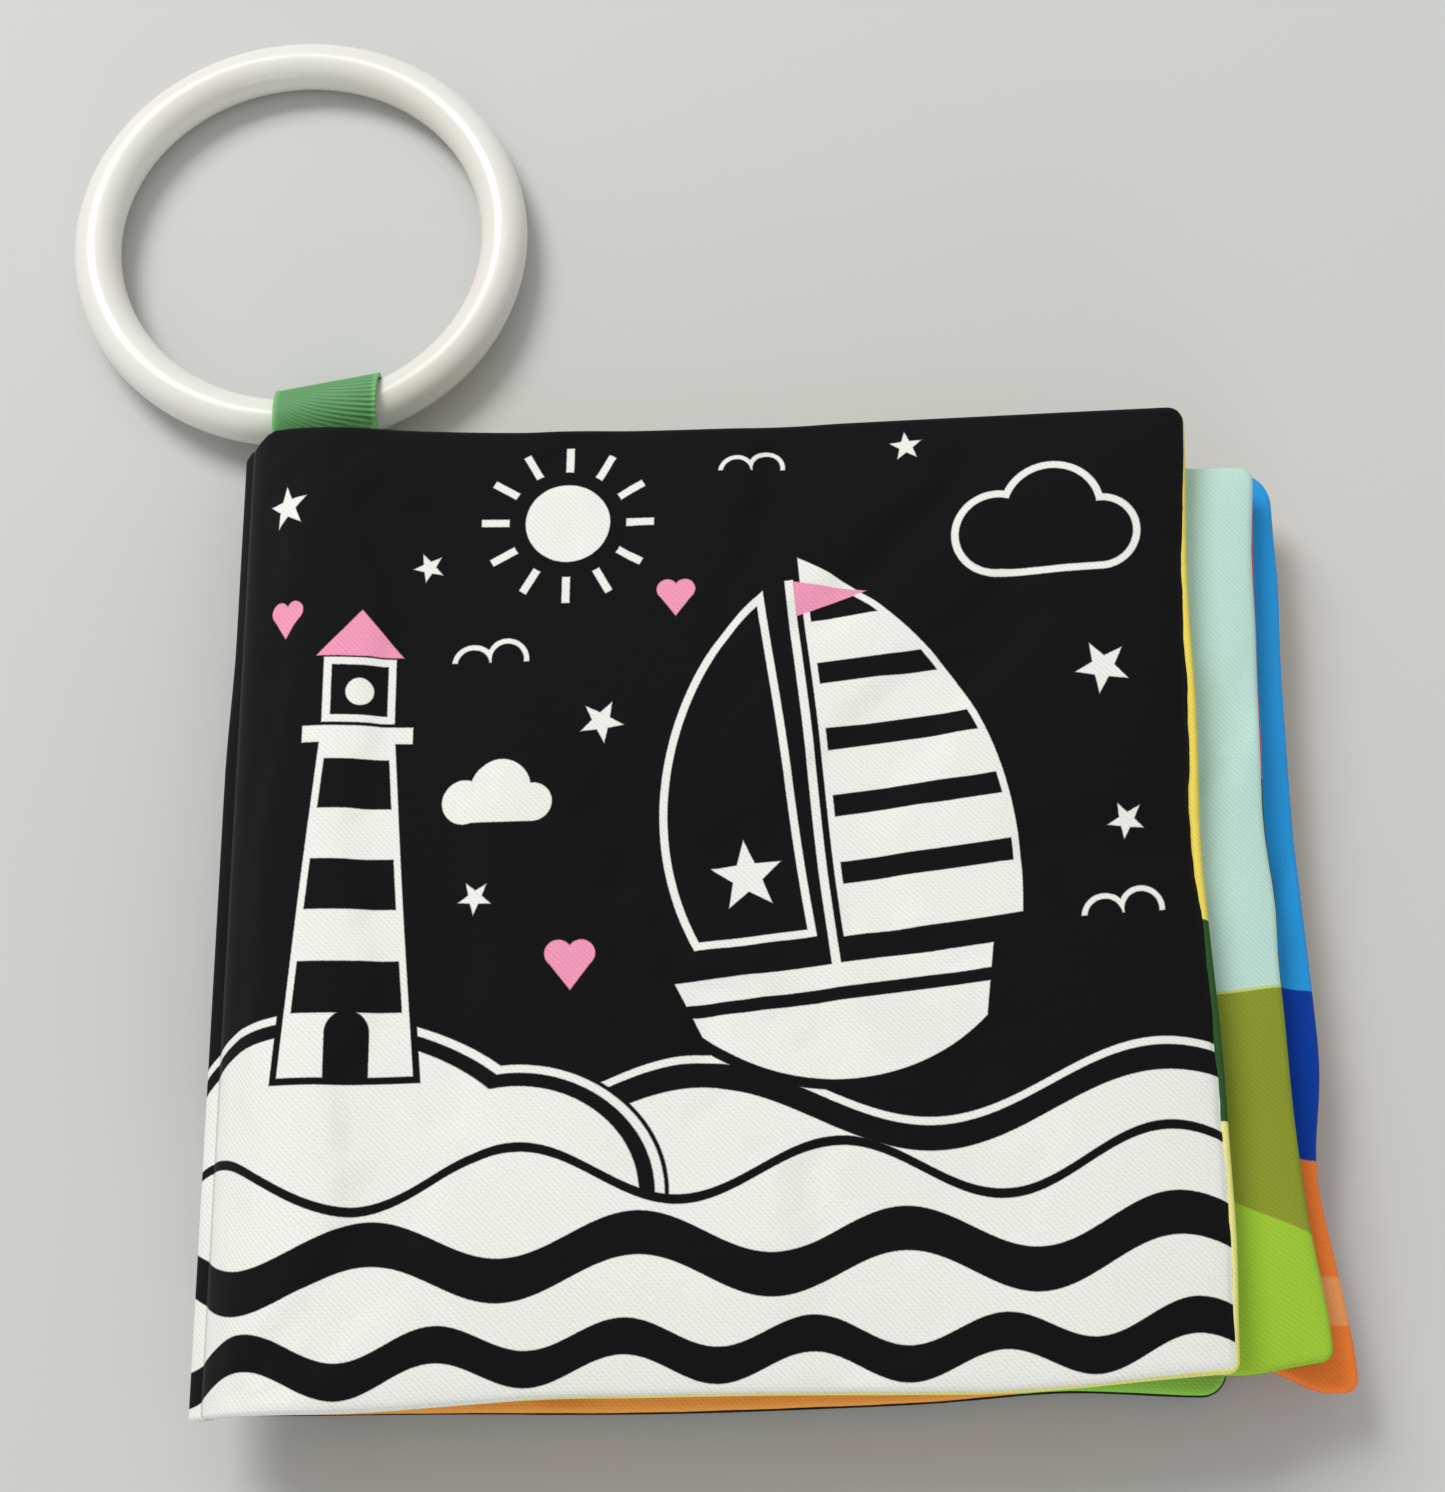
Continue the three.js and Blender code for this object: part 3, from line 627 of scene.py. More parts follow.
class Page:
    """Places on a page, in millimetres, as a vector that a shader reads. Shapes on it are fields."""

    def __init__(self, tree, socket):
        self.tree = tree
        self.socket = socket

    def vector_node(self, operation, second=None):
        node = self.tree.nodes.new("ShaderNodeVectorMath")
        node.operation = operation
        self.tree.links.new(self.socket, node.inputs[0])
        if second is not None:
            node.inputs[1].default_value = second
        return node

    def moved(self, x, y, turn=0, size=1, tall=None):
        """The page seen from a new origin, turned by some degrees and measured in sizes."""
        node = self.tree.nodes.new("ShaderNodeMapping")
        node.vector_type = "TEXTURE"
        self.tree.links.new(self.socket, node.inputs["Vector"])
        node.inputs["Location"].default_value = (x, y, 0)
        node.inputs["Rotation"].default_value = (0, 0, math.radians(turn))
        node.inputs["Scale"].default_value = (size, tall or size, 1)
        return Page(self.tree, node.outputs[0])

    def mirrored(self):
        """The right half, seen on both sides of the origin."""
        x, y = self.sides()
        node = self.tree.nodes.new("ShaderNodeCombineXYZ")
        self.tree.links.new(abs(x).socket, node.inputs[0])
        self.tree.links.new(y.socket, node.inputs[1])
        return Page(self.tree, node.outputs[0])

    def sides(self):
        node = self.tree.nodes.new("ShaderNodeSeparateXYZ")
        self.tree.links.new(self.socket, node.inputs[0])
        return Field(self.tree, node.outputs[0]), Field(self.tree, node.outputs[1])

    def from_point(self, x, y):
        return Field(self.tree, self.vector_node("DISTANCE", (x, y, 0)).outputs["Value"])

    def disc(self, x, y, radius):
        return self.from_point(x, y) - radius

    def oval(self, x, y, wide, tall, turn=0):
        inside = self.moved(x, y, turn, wide, tall)
        length = Field(self.tree, inside.vector_node("LENGTH").outputs["Value"])
        return (length - 1) * min(wide, tall)

    def side(self, x, y, degrees):
        """All that lies behind a line through a point that faces a direction."""
        away = (math.cos(math.radians(degrees)), math.sin(math.radians(degrees)), 0)
        field = Field(self.tree, self.vector_node("DOT_PRODUCT", away).outputs["Value"])
        return field - (x * away[0] + y * away[1])

    def below(self, y):
        return self.side(0, y, 90)

    def band(self, low, high):
        return self.below(high).cut(self.below(low))

    def polygon(self, *corners):
        """A convex shape whose corners run anticlockwise."""
        shape = None
        for (x, y), (next_x, next_y) in zip(corners, corners[1:] + corners[:1]):
            edge = self.side(x, y, math.degrees(math.atan2(x - next_x, next_y - y)))
            shape = edge if shape is None else shape & edge
        return shape

    def box(self, left, low, right, high):
        return self.polygon((left, low), (right, low), (right, high), (left, high))

    def line(self, start, end, width):
        """A straight stroke with round ends."""
        turn = math.degrees(math.atan2(end[1] - start[1], end[0] - start[0]))
        x, y = self.moved(*start, turn).sides()
        over = x - x.clamped(0, math.dist(start, end))
        return (over * over + y * y).run("SQRT") - width / 2

    def wave(self, height, swell, length, phase=0.0):
        """Everything under a wavy line."""
        x, y = self.sides()
        return y - height - (x * (2 * math.pi / length) + phase).sine() * swell

    def star(self, x, y, radius, points=5, inner_share=0.42, turn=0):
        """A pointed star, folded from one half of one point."""
        local_x, local_y = self.moved(x, y, turn + 90).sides()
        half_point = math.pi / points
        angle = local_y.run("ARCTAN2", local_x).run("PINGPONG", half_point)
        reach = (local_x * local_x + local_y * local_y).run("SQRT")
        tip = np.array([radius, 0])
        notch = radius * inner_share * np.array([math.cos(half_point), math.sin(half_point)])
        facing = np.array([notch[1] - tip[1], tip[0] - notch[0]])
        facing = facing / np.linalg.norm(facing)
        along, beside = reach * angle.run("COSINE"), reach * angle.sine()
        return along * facing[0] + beside * facing[1] - float(facing @ tip)

    def heart(self, x, y, size):
        half = self.moved(x, y, 0, size).mirrored()
        lobe = half.disc(0.25, 0.25, 0.3)
        point = half.polygon((-0.3, -0.95), (0.51, 0.11), (0.2, 0.45), (-0.3, 0.35))
        return (lobe | point) * size

    def cloud(self, x, y, size):
        """Three puffs with a flat foot."""
        return union(self.disc(x - size, y, size * 0.7), self.disc(x, y + size * 0.35, size),
                     self.disc(x + size, y, size * 0.75), self.box(x - size, y - size * 0.65, x + size, y))


def new_material(name):
    material = bpy.data.materials.new(name)
    material.use_nodes = True
    tree = material.node_tree
    return material, tree, tree.nodes["Principled BSDF"]


def set_inputs(node, values):
    for name, value in values.items():
        node.inputs[name].default_value = value


def noise(tree, vector, scale, detail):
    node = tree.nodes.new("ShaderNodeTexNoise")
    set_inputs(node, {"Scale": scale, "Detail": detail, "Roughness": 0.5})
    tree.links.new(vector, node.inputs["Vector"])
    return Field(tree, node.outputs["Fac"])


def mix(tree, factor, first, second, blend="MIX"):
    node = tree.nodes.new("ShaderNodeMix")
    node.data_type = "RGBA"
    node.blend_type = blend
    for slot, value in ((node.inputs["Factor"], factor), (node.inputs[6], first), (node.inputs[7], second)):
        if isinstance(value, Field):
            tree.links.new(value.socket, slot)
        elif isinstance(value, bpy.types.NodeSocket):
            tree.links.new(value, slot)
        else:
            slot.default_value = value
    return node.outputs[2]


def ramp(tree, field, start, end):
    """A share that runs from 0 to 1 as a field runs from start to end."""
    node = tree.nodes.new("ShaderNodeMapRange")
    set_inputs(node, {"From Min": start, "From Max": end})
    tree.links.new(field.socket, node.inputs["Value"])
    return Field(tree, node.outputs[0])


def page_places(tree):
    node = tree.nodes.new("ShaderNodeAttribute")
    node.attribute_name = "page"
    return node.outputs["Vector"]


def add_bump(tree, shader, height, strength, distance):
    node = tree.nodes.new("ShaderNodeBump")
    set_inputs(node, {"Strength": strength, "Distance": distance * MM})
    tree.links.new(height.socket, node.inputs["Height"])
    tree.links.new(node.outputs["Normal"], shader.inputs["Normal"])


# Colours of the print. A few are painted lighter than the cloth's own colours, as painted light for places
# that lie in shade
BLACK = rgb(10, 10, 10)
WHITE = rgb(236, 236, 228)
PINK = rgb(240, 152, 182)
YELLOW = rgb(240, 218, 92)
PALE_YELLOW = rgb(236, 232, 140)
DARK_GREEN = rgb(45, 84, 40)
MINT = rgb(192, 226, 214)
PALE_LIME = rgb(200, 214, 120)
OLIVE = rgb(142, 154, 46)
LIME = rgb(160, 202, 56)
CORAL = rgb(222, 92, 84)
# BLUE, NAVY, ORANGE and LIGHT_ORANGE are painted lighter than the cloth: painted light that makes up for
# the shade on leaf 3's edge under leaf 2
BLUE = rgb(44, 160, 232)
NAVY = rgb(4, 62, 166)
ORANGE = rgb(255, 134, 54)
LIGHT_ORANGE = rgb(255, 164, 96)
# AMBER and GREEN are painted lighter than the cloth: painted light for the back cover's inner page where it
# shows in shade under the leaves
AMBER = rgb(255, 172, 80)
GREEN = rgb(146, 216, 84)
CREAM = rgb(240, 234, 212)
SKY = rgb(150, 206, 232)
SAND = rgb(246, 196, 120)
RUST = rgb(232, 120, 72)
BROWN = rgb(120, 82, 50)


# Pictures. Each gives its ground colour and then its layers of ink, from the first to the last

# Height, swell, length and start of each near wave, and how deep the black trough above it is
NEAR_WAVES = ((21.5, 2.8, 33, 1.1, 1), (11.6, 2.2, 27, 3, 4.4), (2.6, 1.5, 19, 5, 3.6))


def shore(page):
    """The far swell with a line above it, and the rock in front of it."""
    white = page.wave(27, 3.4, 47, 0.6) | outline(page.wave(30, 3.4, 47, 0.6), 0.8)
    rock = page.oval(15, 20, 23, 17) | page.oval(35, 20, 13, 11)
    return white.cut(rock - 2.6) | outline(rock - 1.8, 0.8) | rock


def near_waves(page, white):
    """The waves in front of everything, each on a black trough."""
    for height, swell, length, start, trough in NEAR_WAVES:
        white = white.cut(page.wave(height + trough, swell, length, start))
        white = white | page.wave(height, swell, length, start)
    return white


def lighthouse(page, white):
    """A banded tower with a gallery, a lantern and a door, in front of what is white already."""
    tower = page.polygon((11.5, 33), (24.5, 33), (21.6, 68), (14.4, 68))
    bands = union(*[page.band(top - 5.4, top) for top in (44.6, 55.4, 66.2)])
    gallery = page.box(12.2, 68, 23.8, 69.8)
    lantern = outline(page.box(14.6, 70.6, 21.4, 77), 0.8)
    lamp = page.disc(18, 73.6, 1.5)
    door = page.disc(18, 37.2, 2.3) | page.box(15.7, 32, 20.3, 37.2)
    white = white.cut(tower - 1.1) | tower.cut(bands) | gallery | lantern | lamp | outline(tower, 0.7)
    return white.cut(door)


def sailing_boat(boat, white):
    """A hull, a ribbed mainsail and a jib with a star, in front of what is white already."""
    hull = boat.disc(0, 17, 24.5) & boat.below(5.6) & boat.side(-19, 5, 200) & boat.side(17, 5, -15)
    mast = boat.box(-1.3, 5, -0.3, 52)
    above_deck = boat.side(0, 9, -90)
    sail = boat.disc(-22, 17, 43.5) & boat.side(0.9, 10, 180) & above_deck
    ribs = stripes(boat.sides()[1], 8, 2.6)
    jib = boat.disc(17, 22, 36) & boat.side(-2.5, 10, 2) & above_deck
    drawn = union(hull.cut(boat.band(1.4, 2.9)), mast, sail.cut(ribs), outline(sail, 0.8),
                  outline(jib + 0.5, 0.9))
    return white.cut(hull - 1.2) | drawn | boat.star(-9.5, 17, 4.2)


def sun_rays(sun):
    ray_x, ray_y = sun.sides()
    angle = ray_y.run("ARCTAN2", ray_x).run("PINGPONG", math.pi / 12)
    reach = sun.from_point(0, 0)
    return (reach * angle.sine() - 0.42) & (reach - 9.4) & -(reach - 6.4)


def stars(page, *places):
    return [page.star(x, y, size, turn=x) for x, y, size in places]


def gull(page, x, y, size):
    wing = page.moved(x, y, 8, size).mirrored().disc(0.55, 0, 0.6)
    return outline(wing, 0.16) * size & page.side(x, y, -90)


def picture_front_cover(page, rough):
    """A lighthouse, a sailing boat and rolling waves in black, off-white and a little pink."""
    boat = page.moved(70, 38, 6, 0.92)
    white = near_waves(page, sailing_boat(boat, lighthouse(page, shore(page))))
    large_cloud = union(page.disc(87, 90, 4.6), page.disc(93, 92.4, 5.4), page.disc(98.4, 89.6, 4),
                        page.polygon((87, 85.4), (98.4, 85.6), (98.4, 90), (87, 90)))
    small_cloud = union(page.disc(29.6, 61.4, 2.4), page.disc(33.4, 62.8, 3.2), page.disc(36.8, 61.2, 2.1),
                        page.box(29.6, 59.1, 36.8, 61.4))
    night = stars(page, (44, 70, 2.4), (98, 74, 3), (31, 51, 1.8), (9, 95, 2.6), (77, 101, 1.8),
                  (100, 57, 2), (25, 88, 1.7))
    gulls = [gull(page, *spot) for spot in ((32, 77, 3.4), (99, 47, 3.6), (60, 99, 3))]
    white = union(white, page.disc(40, 93, 4.6), sun_rays(page.moved(40, 93)), outline(large_cloud, 0.8),
                  small_cloud, *night, *gulls)
    hearts = union(page.heart(52, 84, 3.8), page.heart(41, 43.5, 4.8), page.heart(9.5, 82, 3.8))
    roof = page.polygon((13.4, 77.6), (22.6, 77.6), (18, 82.8))
    flag = boat.polygon((-0.3, 47.6), (8.2, 49.6), (-0.3, 51.8))
    return BLACK, (white + rough, WHITE), ((hearts | roof | flag) + rough, PINK)


# Where the front's print, carried on round the spine, would have its stitch line on the back, and how
# much black is left at the open edges there
ROUND_SPINE = -1.3
BLACK_MARGIN = 1.4


def picture_black(page, rough):
    """The sea of the front goes on over the back, under a black sky with three stars."""
    sea = page.moved(ROUND_SPINE, 0, 0, -1, 1)
    margin = page.below(BLACK_MARGIN) | page.side(PAGE_WIDTH - BLACK_MARGIN, 0, 180)
    white = near_waves(sea, shore(sea)).cut(margin)
    night = union(*stars(page, (30, 74, 3), (54, 60, 4.5), (80, 82, 2.6)))
    return BLACK, ((white | night) + rough, WHITE)


def flowers(page, *places):
    """Layers for the stalk, the petals and the heart of each flower."""
    layers = []
    for x, y, size, petals in places:
        stalk = page.line((x, y), (x - size * 0.4, y - size * 3.4), size * 0.3)
        ring = union(*[page.disc(x + size * math.cos(turn), y + size * math.sin(turn), size * 0.62)
                       for turn in np.linspace(0, 2 * math.pi, 5, endpoint=False)])
        layers += [(stalk, DARK_GREEN), (ring, petals), (page.disc(x, y, size * 0.5), ORANGE)]
    return layers


def picture_leaf_2_front(page, rough):
    """A meadow under a pale sky."""
    sun = page.disc(30, 78, 10)
    clouds = page.cloud(74, 82, 8) | page.cloud(42, 68, 5.5)
    hill = page.oval(118, -44, 118, 82.9) + rough
    trunk = page.polygon((58, 34), (61, 34), (60.4, 46), (58.6, 46))
    leaves = union(page.disc(59.5, 52, 8), page.disc(53.9, 48.4, 5.6), page.disc(65.1, 48.4, 5.6))
    meadow = page.oval(60, -41.1, 100, 71, -14)
    return (MINT, (sun + rough, YELLOW), (clouds, CREAM), (hill - 0.3, PALE_LIME), (hill, OLIVE),
            (trunk, BROWN), (leaves, DARK_GREEN), (meadow + rough, LIME),
            *flowers(page, (22, 22, 3, CORAL), (42, 17, 2.4, WHITE), (78, 19, 2.8, YELLOW)))


def picture_leaf_2_back(page, rough):
    """Strawberries among leaves on coral and dark green."""
    layers = [(page.wave(53, 9, 110, 1.3) + rough, DARK_GREEN)]
    for x, y, size in ((26, 74, 9), (62, 80, 7), (88, 66, 8)):
        berry = page.disc(x, y, size) | page.oval(x, y - size * 0.45, size * 0.8, size * 1.15)
        layers += [(berry, CREAM), (page.star(x, y + size * 0.9, size * 0.85), DARK_GREEN)]
    for x, y, turn in ((24, 26, 30), (50, 20, 80), (78, 28, 130)):
        blade = page.oval(x, y, 13, 6, turn)
        rib = blade & outline(page.side(x, y, turn + 90), 0.7)
        layers += [(blade + rough, LIME), (rib, DARK_GREEN)]
    return CORAL, *layers


def picture_leaf_3_front(page, rough):
    """A sandy shore, a navy sea and a fish under a blue sky."""
    crest = outline(page.wave(35, 1.3, 13), 0.9) & page.side(96, 0, 0)
    body = page.disc(50, 44, 19) & page.disc(50, 68, 19)
    tail = page.polygon((34, 56), (28, 62.5), (28, 49.5))
    bars = body & stripes(page.sides()[0], 7, 2.2) & page.side(58, 0, 0)
    starfish = page.star(24, 12, 6.4) | page.star(82, 16, 4.6, turn=25)
    # The blue, navy and oranges here are painted lighter, as painted light for the edge that lies in leaf
    # 2's shade
    return (BLUE, (page.disc(84, 82, 9), YELLOW), (page.cloud(34, 80, 7.5), WHITE),
            (page.below(40.7) + rough, NAVY), (crest, BLUE), (page.below(23) + rough, ORANGE),
            (page.band(6.5, 11.3) + rough, LIGHT_ORANGE), (body | tail, LIGHT_ORANGE), (bars, CREAM),
            (page.disc(61, 57.6, 1.2), NAVY), (starfish, YELLOW))


def picture_leaf_3_back(page, rough):
    """Autumn hills and falling leaves."""
    layers = [(page.oval(70, -30, 90, 76) + rough, RUST), (page.oval(20, -50, 84, 82) + rough, ORANGE),
              (page.disc(80, 82, 9), CREAM)]
    fallen = ((30, 82, 8, 40, CORAL), (54, 64, 6.5, 120, CORAL), (92, 56, 6, 75, CORAL),
              (30, 18, 8, 20, DARK_GREEN), (72, 22, 7, 150, DARK_GREEN))
    for x, y, size, turn, colour in fallen:
        blade = page.disc(x, y, size) & page.moved(x, y, turn).disc(size * 0.9, 0, size)
        layers.append((blade, colour))
    return SAND, *layers


def picture_front_inner(page, rough):
    """A little house on a hill under a yellow sky."""
    clouds = page.cloud(78, 84, 6.5) | page.cloud(26, 78, 8)
    hill = page.oval(78, -19.4, 92, 69)
    wall = page.box(34, 40, 58, 58)
    roof = page.polygon((30, 58), (62, 58), (46, 70))
    door = page.box(43, 40, 50, 50)
    field = page.oval(94, -62, 120, 87.4)
    return (YELLOW, (clouds, CREAM), (hill + rough, DARK_GREEN), (wall, CORAL), (roof, BROWN),
            (door, CREAM), (field + rough, PALE_YELLOW),
            *flowers(page, (18, 26, 3, CORAL), (64, 18, 2.6, WHITE), (84, 16, 3, CORAL)))


def picture_back_inner(page, rough):
    """An evening field with a balloon of stripes."""
    clouds = page.cloud(84, 80, 7) | page.cloud(24, 62, 6)
    envelope = page.disc(52, 74, 15) | page.polygon((45, 56), (59, 56), (65.5, 67.4), (38.5, 67.4))
    stripe = envelope & stripes(page.moved(52, 74).sides()[0], 9, 4.5)
    ropes = page.line((47, 56), (49, 48), 0.7) | page.line((57, 56), (55, 48), 0.7)
    basket = page.polygon((48.4, 43), (55.6, 43), (56, 48), (48, 48))
    # The amber field and the green hill are painted lighter, as painted light for the strip in shade under
    # the leaves
    return (SKY, (clouds, CREAM), (page.wave(26, 5, 120, 1.2) + rough, AMBER),
            (page.oval(110, -2, 22.8, 44) + rough, GREEN), (envelope, CORAL), (stripe, YELLOW),
            (ropes, NAVY), (basket, BROWN))


# The material slot and the picture of each cloth
PICTURES = {
    "front_cover_outer_cloth": ("black_cover_cloth", picture_front_cover),
    "front_cover_inner_cloth": ("front_cover_page_cloth", picture_front_inner),
    "leaf_2_front_cloth": ("leaf_2_front_page_cloth", picture_leaf_2_front),
    "leaf_2_back_cloth": ("leaf_2_back_page_cloth", picture_leaf_2_back),
    "leaf_3_front_cloth": ("leaf_3_front_page_cloth", picture_leaf_3_front),
    "leaf_3_back_cloth": ("leaf_3_back_page_cloth", picture_leaf_3_back),
    "back_cover_inner_cloth": ("back_cover_page_cloth", picture_back_inner),
    "back_cover_outer_cloth": ("black_cover_cloth", picture_black),
}


# Materials

INK_EDGE = 0.07
INK_WANDER = 0.1
TWILL_PITCH = 0.44
YARN_PITCH = 0.8 * TWILL_PITCH
# How much the twill's ribs, the yarns, the single threads and faint clouds change the colour, and how
# high the first three stand
SHADES = (0.05, 0.015, 0.14, 0.09)
MIDDLE_SHADE = 0.985
HEIGHTS = (0.5, 0.25, 0.8)


def printed_cloth(name, picture):
    """Fine twill with a picture printed on it."""
    material, tree, shader = new_material(name)
    spot = page_places(tree)
    page = Page(tree, spot)
    x, y = page.sides()
    thread = noise(tree, spot, scale=3.1, detail=2)
    colour, *layers = picture(page, (thread - 0.5) * INK_WANDER)
    for shape, ink in layers:
        colour = mix(tree, ramp(tree, shape, INK_EDGE, -INK_EDGE), colour, ink)
    rib = ((x + y) * (2 * math.pi / (TWILL_PITCH * math.sqrt(2)))).sine()
    yarn = (y * (2 * math.pi / YARN_PITCH)).sine()
    cloud = noise(tree, spot, scale=0.06, detail=3)
    shade = rib * SHADES[0] + yarn * SHADES[1] + (thread - 0.5) * SHADES[2] + (cloud - 0.5) * SHADES[3]
    shade = shade + MIDDLE_SHADE
    grey = tree.nodes.new("ShaderNodeCombineColor")
    for slot in grey.inputs:
        tree.links.new(shade.socket, slot)
    colour = mix(tree, 1.0, colour, grey.outputs[0], "MULTIPLY")
    tree.links.new(colour, shader.inputs["Base Color"])
    set_inputs(shader, {"Roughness": 0.8, "Specular IOR Level": 0.12,
                        "Sheen Weight": 0.04, "Sheen Roughness": 0.45})
    height = rib * HEIGHTS[0] + yarn * HEIGHTS[1] + thread * HEIGHTS[2]
    add_bump(tree, shader, height, strength=0.42, distance=0.05)
    return material


def plain_material(name, colour, roughness, spread, scale, relief, strength):
    """One colour that varies a little, with a fine grain."""
    material, tree, shader = new_material(name)
    spot = tree.nodes.new("ShaderNodeTexCoord").outputs["Object"]
    grain = noise(tree, spot, scale, detail=3)
    darker = tuple(c * (1 - spread) for c in colour[:3]) + (1.0,)
    tree.links.new(mix(tree, grain, darker, colour), shader.inputs["Base Color"])
    shader.inputs["Roughness"].default_value = roughness
    add_bump(tree, shader, grain, strength, relief)
    return material, shader


def ring_material():
    """Glossy off-white plastic with faint warm patches."""
    material, tree, shader = new_material("ring_plastic")
    spot = tree.nodes.new("ShaderNodeTexCoord").outputs["Object"]
    warmth = ramp(tree, noise(tree, spot, scale=38, detail=1), start=0.45, end=0.62)
    colour = mix(tree, warmth, rgb(228, 230, 219), rgb(229, 224, 215))
    tree.links.new(colour, shader.inputs["Base Color"])
    scratches = noise(tree, spot, scale=700, detail=2)
    tree.links.new((scratches * 0.08 + 0.22).socket, shader.inputs["Roughness"])
    set_inputs(shader, {"Specular IOR Level": 0.4, "Coat Weight": 0.15, "Coat Roughness": 0.08})
    add_bump(tree, shader, scratches, strength=0.02, distance=0.01)
    return material


SELVEDGE_START = 0.44
SELVEDGE_SLOPE = 18


def ribbon_material():
    """Green grosgrain with pale selvedges, its ribs across the ribbon painted as light and dark stripes:
    painted shade and highlight that shows more to the right.
    """
    material, tree, shader = new_material("ribbon_grosgrain")
    spot = page_places(tree)
    across, along = Page(tree, spot).sides()
    thread = noise(tree, spot, scale=6, detail=2)
    # Painted shade and highlight of the ribs: light and dark stripes along the ribbon, stronger to the
    # right
    rib = (along * (2 * math.pi)).sine() * (across * 0.4 + 0.1) + 0.5
    colour = mix(tree, rib, rgb(66, 128, 70), rgb(98, 168, 98))
    selvedge = ((abs(across - 0.5) - SELVEDGE_START) * SELVEDGE_SLOPE).clamped(0, 1)
    colour = mix(tree, selvedge, colour, rgb(120, 188, 112))
    grey = mix(tree, thread, (0.82, 0.82, 0.82, 1), (1.1, 1.1, 1.1, 1))
    colour = mix(tree, 1.0, colour, grey, "MULTIPLY")
    tree.links.new(colour, shader.inputs["Base Color"])
    set_inputs(shader, {"Roughness": 0.6, "Sheen Weight": 0.35, "Sheen Roughness": 0.4})
    add_bump(tree, shader, thread, strength=0.4, distance=0.05)
    return material


thread_material, _ = plain_material("sewing_thread", rgb(34, 34, 34), roughness=0.7, spread=0.4,
                                    scale=4000, relief=0.05, strength=0.5)
batting_material, _ = plain_material("batting", rgb(240, 240, 236), roughness=0.95, spread=0.15,
                                     scale=500, relief=0.4, strength=0.8)
film_material, film_shader = plain_material("crinkle_film", rgb(222, 228, 232), roughness=0.25, spread=0.06,
                                            scale=300, relief=0.05, strength=0.4)
set_inputs(film_shader, {"Specular IOR Level": 0.6, "Coat Weight": 0.4})


# Pieces of one leaf

FILM_STEP = 1.6
BATTING_STEP = 2.4
CRINKLE = 0.1


def add_cloth(leaf, part, wraps):
    name = f"{leaf['name']}_{part}"
    slot_name, picture = PICTURES[name]
    x, y, edge, on_top, roll = cloth_places(leaf, wraps)
    points = surface(leaf, x, y, edge, on_top, roll)
    faces = grid_faces(numbered(x.shape), turned=wraps)
    piece = make_object(name + "_sewn", points, faces, printed_cloth(name, picture))
    store(piece, "page", np.stack([x, y, np.zeros_like(x)], -1))
    solidify(piece, CLOTH)
    stand_in(piece, leaf["name"], name)
    leaf["width"] * MM
    leaf["tall"] * MM


def inner_grid(leaf, step):
    x, y = np.meshgrid(np.arange(LEAF_START + SPINE_ROLL / 2, leaf["width"] - FILL_INSET, step),
                       np.arange(FILL_INSET, leaf["tall"] - FILL_INSET, step))
    return x, y, from_open_edge(leaf, x, y)


def add_film(leaf):
    name = f"{leaf['name']}_crinkle_film"
    x, y, edge = inner_grid(leaf, FILM_STEP)
    crinkle = CRINKLE * np.random.default_rng(leaf["seed"]).uniform(0, 1, x.shape)
    points = surface(leaf, x, y, edge, np.ones_like(x, bool), under=CLOTH + LAYER_GAP + crinkle)
    piece = make_object(name + "_sheet", points, grid_faces(numbered(x.shape)), film_material)
    solidify(piece, FILM)
    stand_in(piece, leaf["name"], name)


def add_batting(leaf):
    name = f"{leaf['name']}_batting"
    x, y, edge = inner_grid(leaf, BATTING_STEP)
    above = CLOTH + 2 * LAYER_GAP + CRINKLE + FILM
    upper = surface(leaf, x, y, edge, np.ones_like(x, bool), under=above)
    lower = surface(leaf, x, y, edge, np.zeros_like(x, bool), under=CLOTH + LAYER_GAP)
    piece = closed_slab(name + "_pad", upper, lower, batting_material)
    stand_in(piece, leaf["name"], name)


for leaf in LEAVES:
    add_batting(leaf)
    add_cloth(leaf, leaf["upper"], wraps=False)
    add_cloth(leaf, leaf["lower"], wraps=True)
    add_film(leaf)


# Edge seams

EDGE_THREAD_INSET = 0.9
EDGE_THREAD_START = 1
EDGE_STITCH = 2.5
EDGE_THREAD_STEP = 0.5
DIPPED_SHARE = 0.55


def add_edge_thread(leaf):
    """Stitches round the three open sides, thinner where they dip into the cloth."""
    name = f"{leaf['name']}_edge_thread"
    low, high = EDGE_THREAD_INSET, leaf["tall"] - EDGE_THREAD_INSET
    start, end = LEAF_START + EDGE_THREAD_START, leaf["width"] - EDGE_THREAD_INSET
    turn, cut = CORNER_RADIUS, CORNER_RADIUS / 4
    corners = np.array([(start, low), (end - turn, low), (end - cut, low + cut), (end, low + turn),
                        (end, high - turn), (end - cut, high - cut), (end - turn, high), (start, high)])
    steps = lengths_along(corners)
    length = steps[-1]
    share = np.linspace(0, 1, int(length / EDGE_THREAD_STEP))
    dip = np.abs(np.sin(np.pi * share * round(length / EDGE_STITCH)))
    radius = THREAD / 2 * lerp(DIPPED_SHARE, 1, dip)[:, None]
    x, y = (np.interp(share * length, steps, column) for column in corners.T)
    middles = place(leaf, x, y, leaf["lift"](x, y))
    up = place(leaf, x, y, leaf["lift"](x, y) + 1) - middles
    across = np.cross(np.gradient(middles, axis=0), up)
    across /= np.linalg.norm(across, axis=1)[:, None]
    piece = tube(name + "_stitches", middles, across * radius, up * radius, thread_material, sides=6)
    stand_in(piece, leaf["name"], name)


for leaf in LEAVES:
    add_edge_thread(leaf)


# Spine: the folds of the two spreads and the stitching through them

